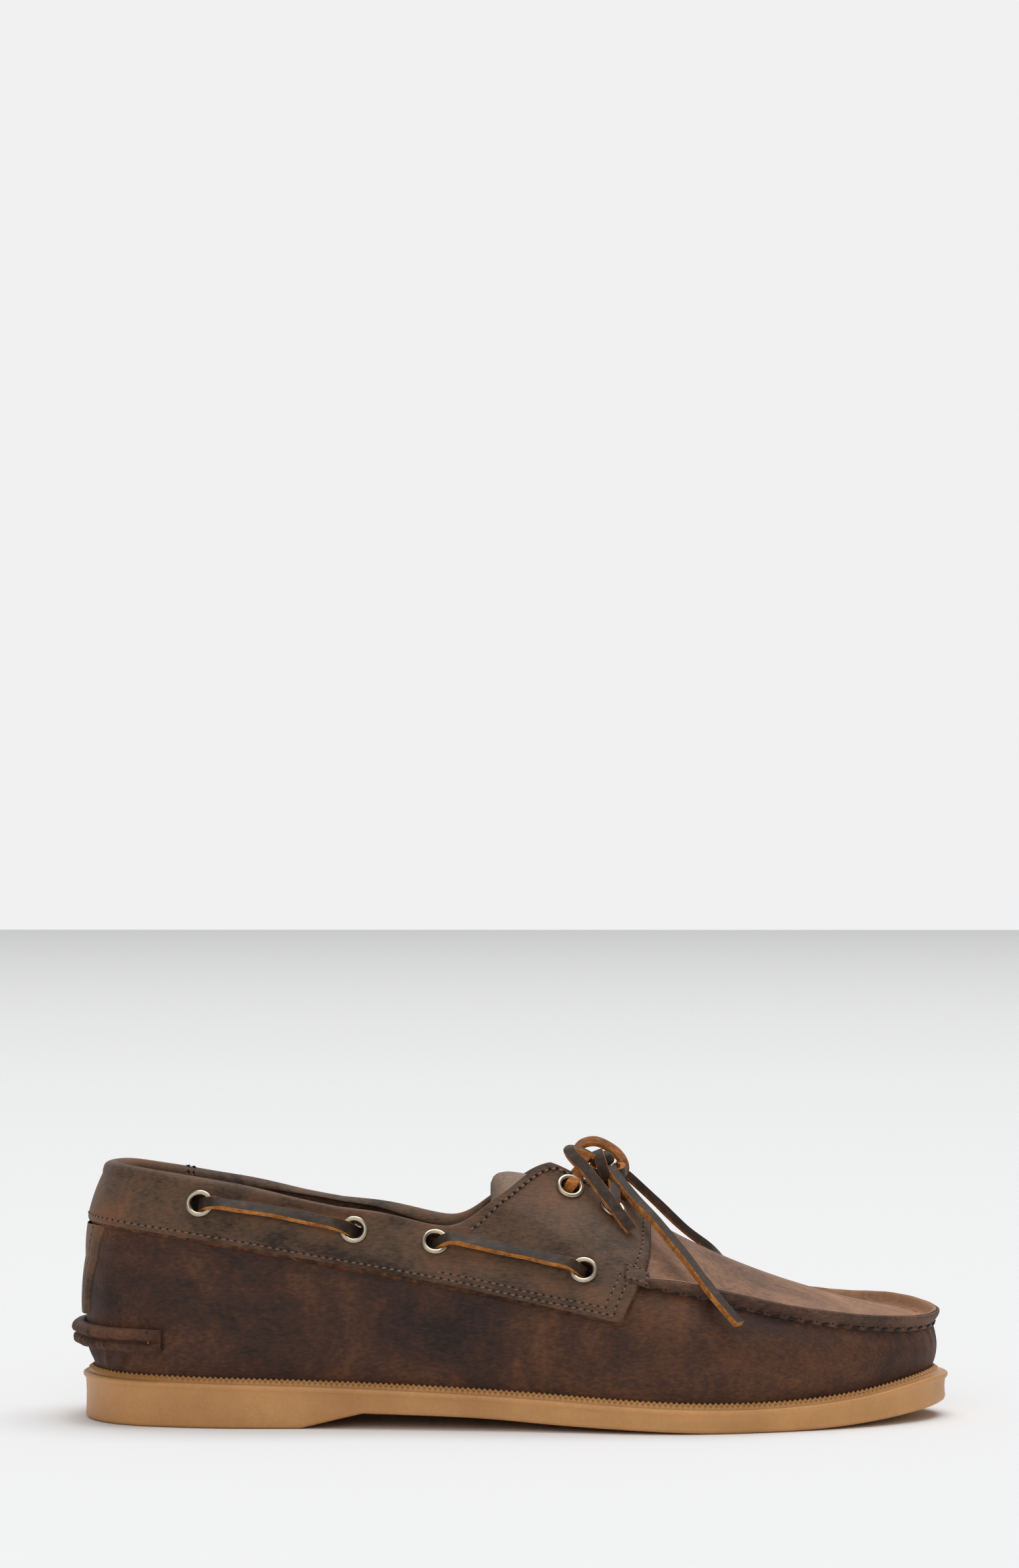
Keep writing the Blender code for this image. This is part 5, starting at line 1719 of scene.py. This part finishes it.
# %% [markdown]
# Where the panel's front edge meets the moccasin seam a small leather tab takes the strain.
# It is sewn down all round through panel and ridge.

# %% Bar tack tab
TAB_CORNERS = (
    Spot(0.6285, 0.632),
    Spot(0.6575, 0.592),
    Spot(0.6580, 0.520),
    Spot(0.6285, 0.556),
)
TAB_HEIGHT = 0.0010
# The stitches' way round the tab, in shares of its width and height.
TAB_RIM = ((0.14, 0.84), (0.86, 0.84), (0.86, 0.16), (0.14, 0.16), (0.14, 0.84))


def tab_place(side, across, up, lift):
    """Point and direction out on the tab, from shares of its width and height."""
    top_rear, top_front, low_front, low_rear = [Vector(find_spot(spot)) for spot in TAB_CORNERS]
    turn, level = low_rear.lerp(low_front, across).lerp(top_rear.lerp(top_front, across), up)
    return panel_face(turn * side, level, lift)[:2]


for word, side in SIDES:
    sections = []
    for across in shares(24):
        line = []
        for up in shares(16):
            rim = min(across, 1.0 - across, up, 1.0 - up)
            line.append(tab_place(side, across, up, TAB_HEIGHT * (ramp(rim, 0.0, 0.09) * 1.05 - 0.05))[0])
        sections.append(line)
    tab = loft("strain_tab_" + word, sections, (PANEL_LEATHER,))
    paint(tab)
    settle(tab, "brown_leather")
    line = []
    for start, end in zip(TAB_RIM, TAB_RIM[1:]):
        for share in shares(24):
            across, up = start[0] + (end[0] - start[0]) * share, start[1] + (end[1] - start[1]) * share
            line.append(tab_place(side, across, up, TAB_HEIGHT))
    stitch_run("tab_stitches_" + word, line, pitch=0.0021, thick=0.0004)

# %% Stitches at the moccasin seam, the backstay and the rolled heel seam
whip = []
for turn in toe_turns(900, 0.004):
    point, out, up, _ = seam_frame(turn if turn <= 1.0 else turn - 2.0)
    whip.append((point + out * SEAM_WIDTH * 0.56 + up * 0.0002, (out + up * 0.4).normalized()))
stitch_run("moccasin_stitches", whip, pitch=PUCKER_PITCH, thick=0.0007, thread=DARK_THREAD, slant=0.20,
           dark=0.0003)
for word, side in SIDES:
    line = []
    for share in shares(60):
        level = stay_low + (stay_high - stay_low) * (0.04 + 0.92 * share)
        half = profile_value(BACKSTAY_ROWS, stay_rise(share))
        point, normal, _ = frame_at(side * half * 0.74, level)
        line.append((point + normal * STAY_OUT, normal))
    stitch_run("backstay_stitches_" + word, line)
    line = []
    for share in shares(20):
        turn = side * (HEEL_ROLL_END - 0.012)
        point, normal, up = frame_at(turn, level_at_rise(turn, HEEL_ROLL_RISE))
        point = point + normal * HEEL_ROLL_THICKNESS * 0.95 + up * HEEL_ROLL_HEIGHT * (share - 0.5) * 0.9
        line.append((point, normal))
    stitch_run("heel_roll_stitches_" + word, line, pitch=0.0022)
groove = []
for turn in turns(300, HEEL_ROLL_END - 0.016):
    point, normal, _ = frame_at(turn, level_at_rise(turn, HEEL_ROLL_RISE))
    groove.append((point + normal * HEEL_ROLL_THICKNESS * 0.62, normal))
stitch_run("heel_groove_stitches", groove, pitch=0.0036, long=0.5, thread=DARK_THREAD, slant=0.0)
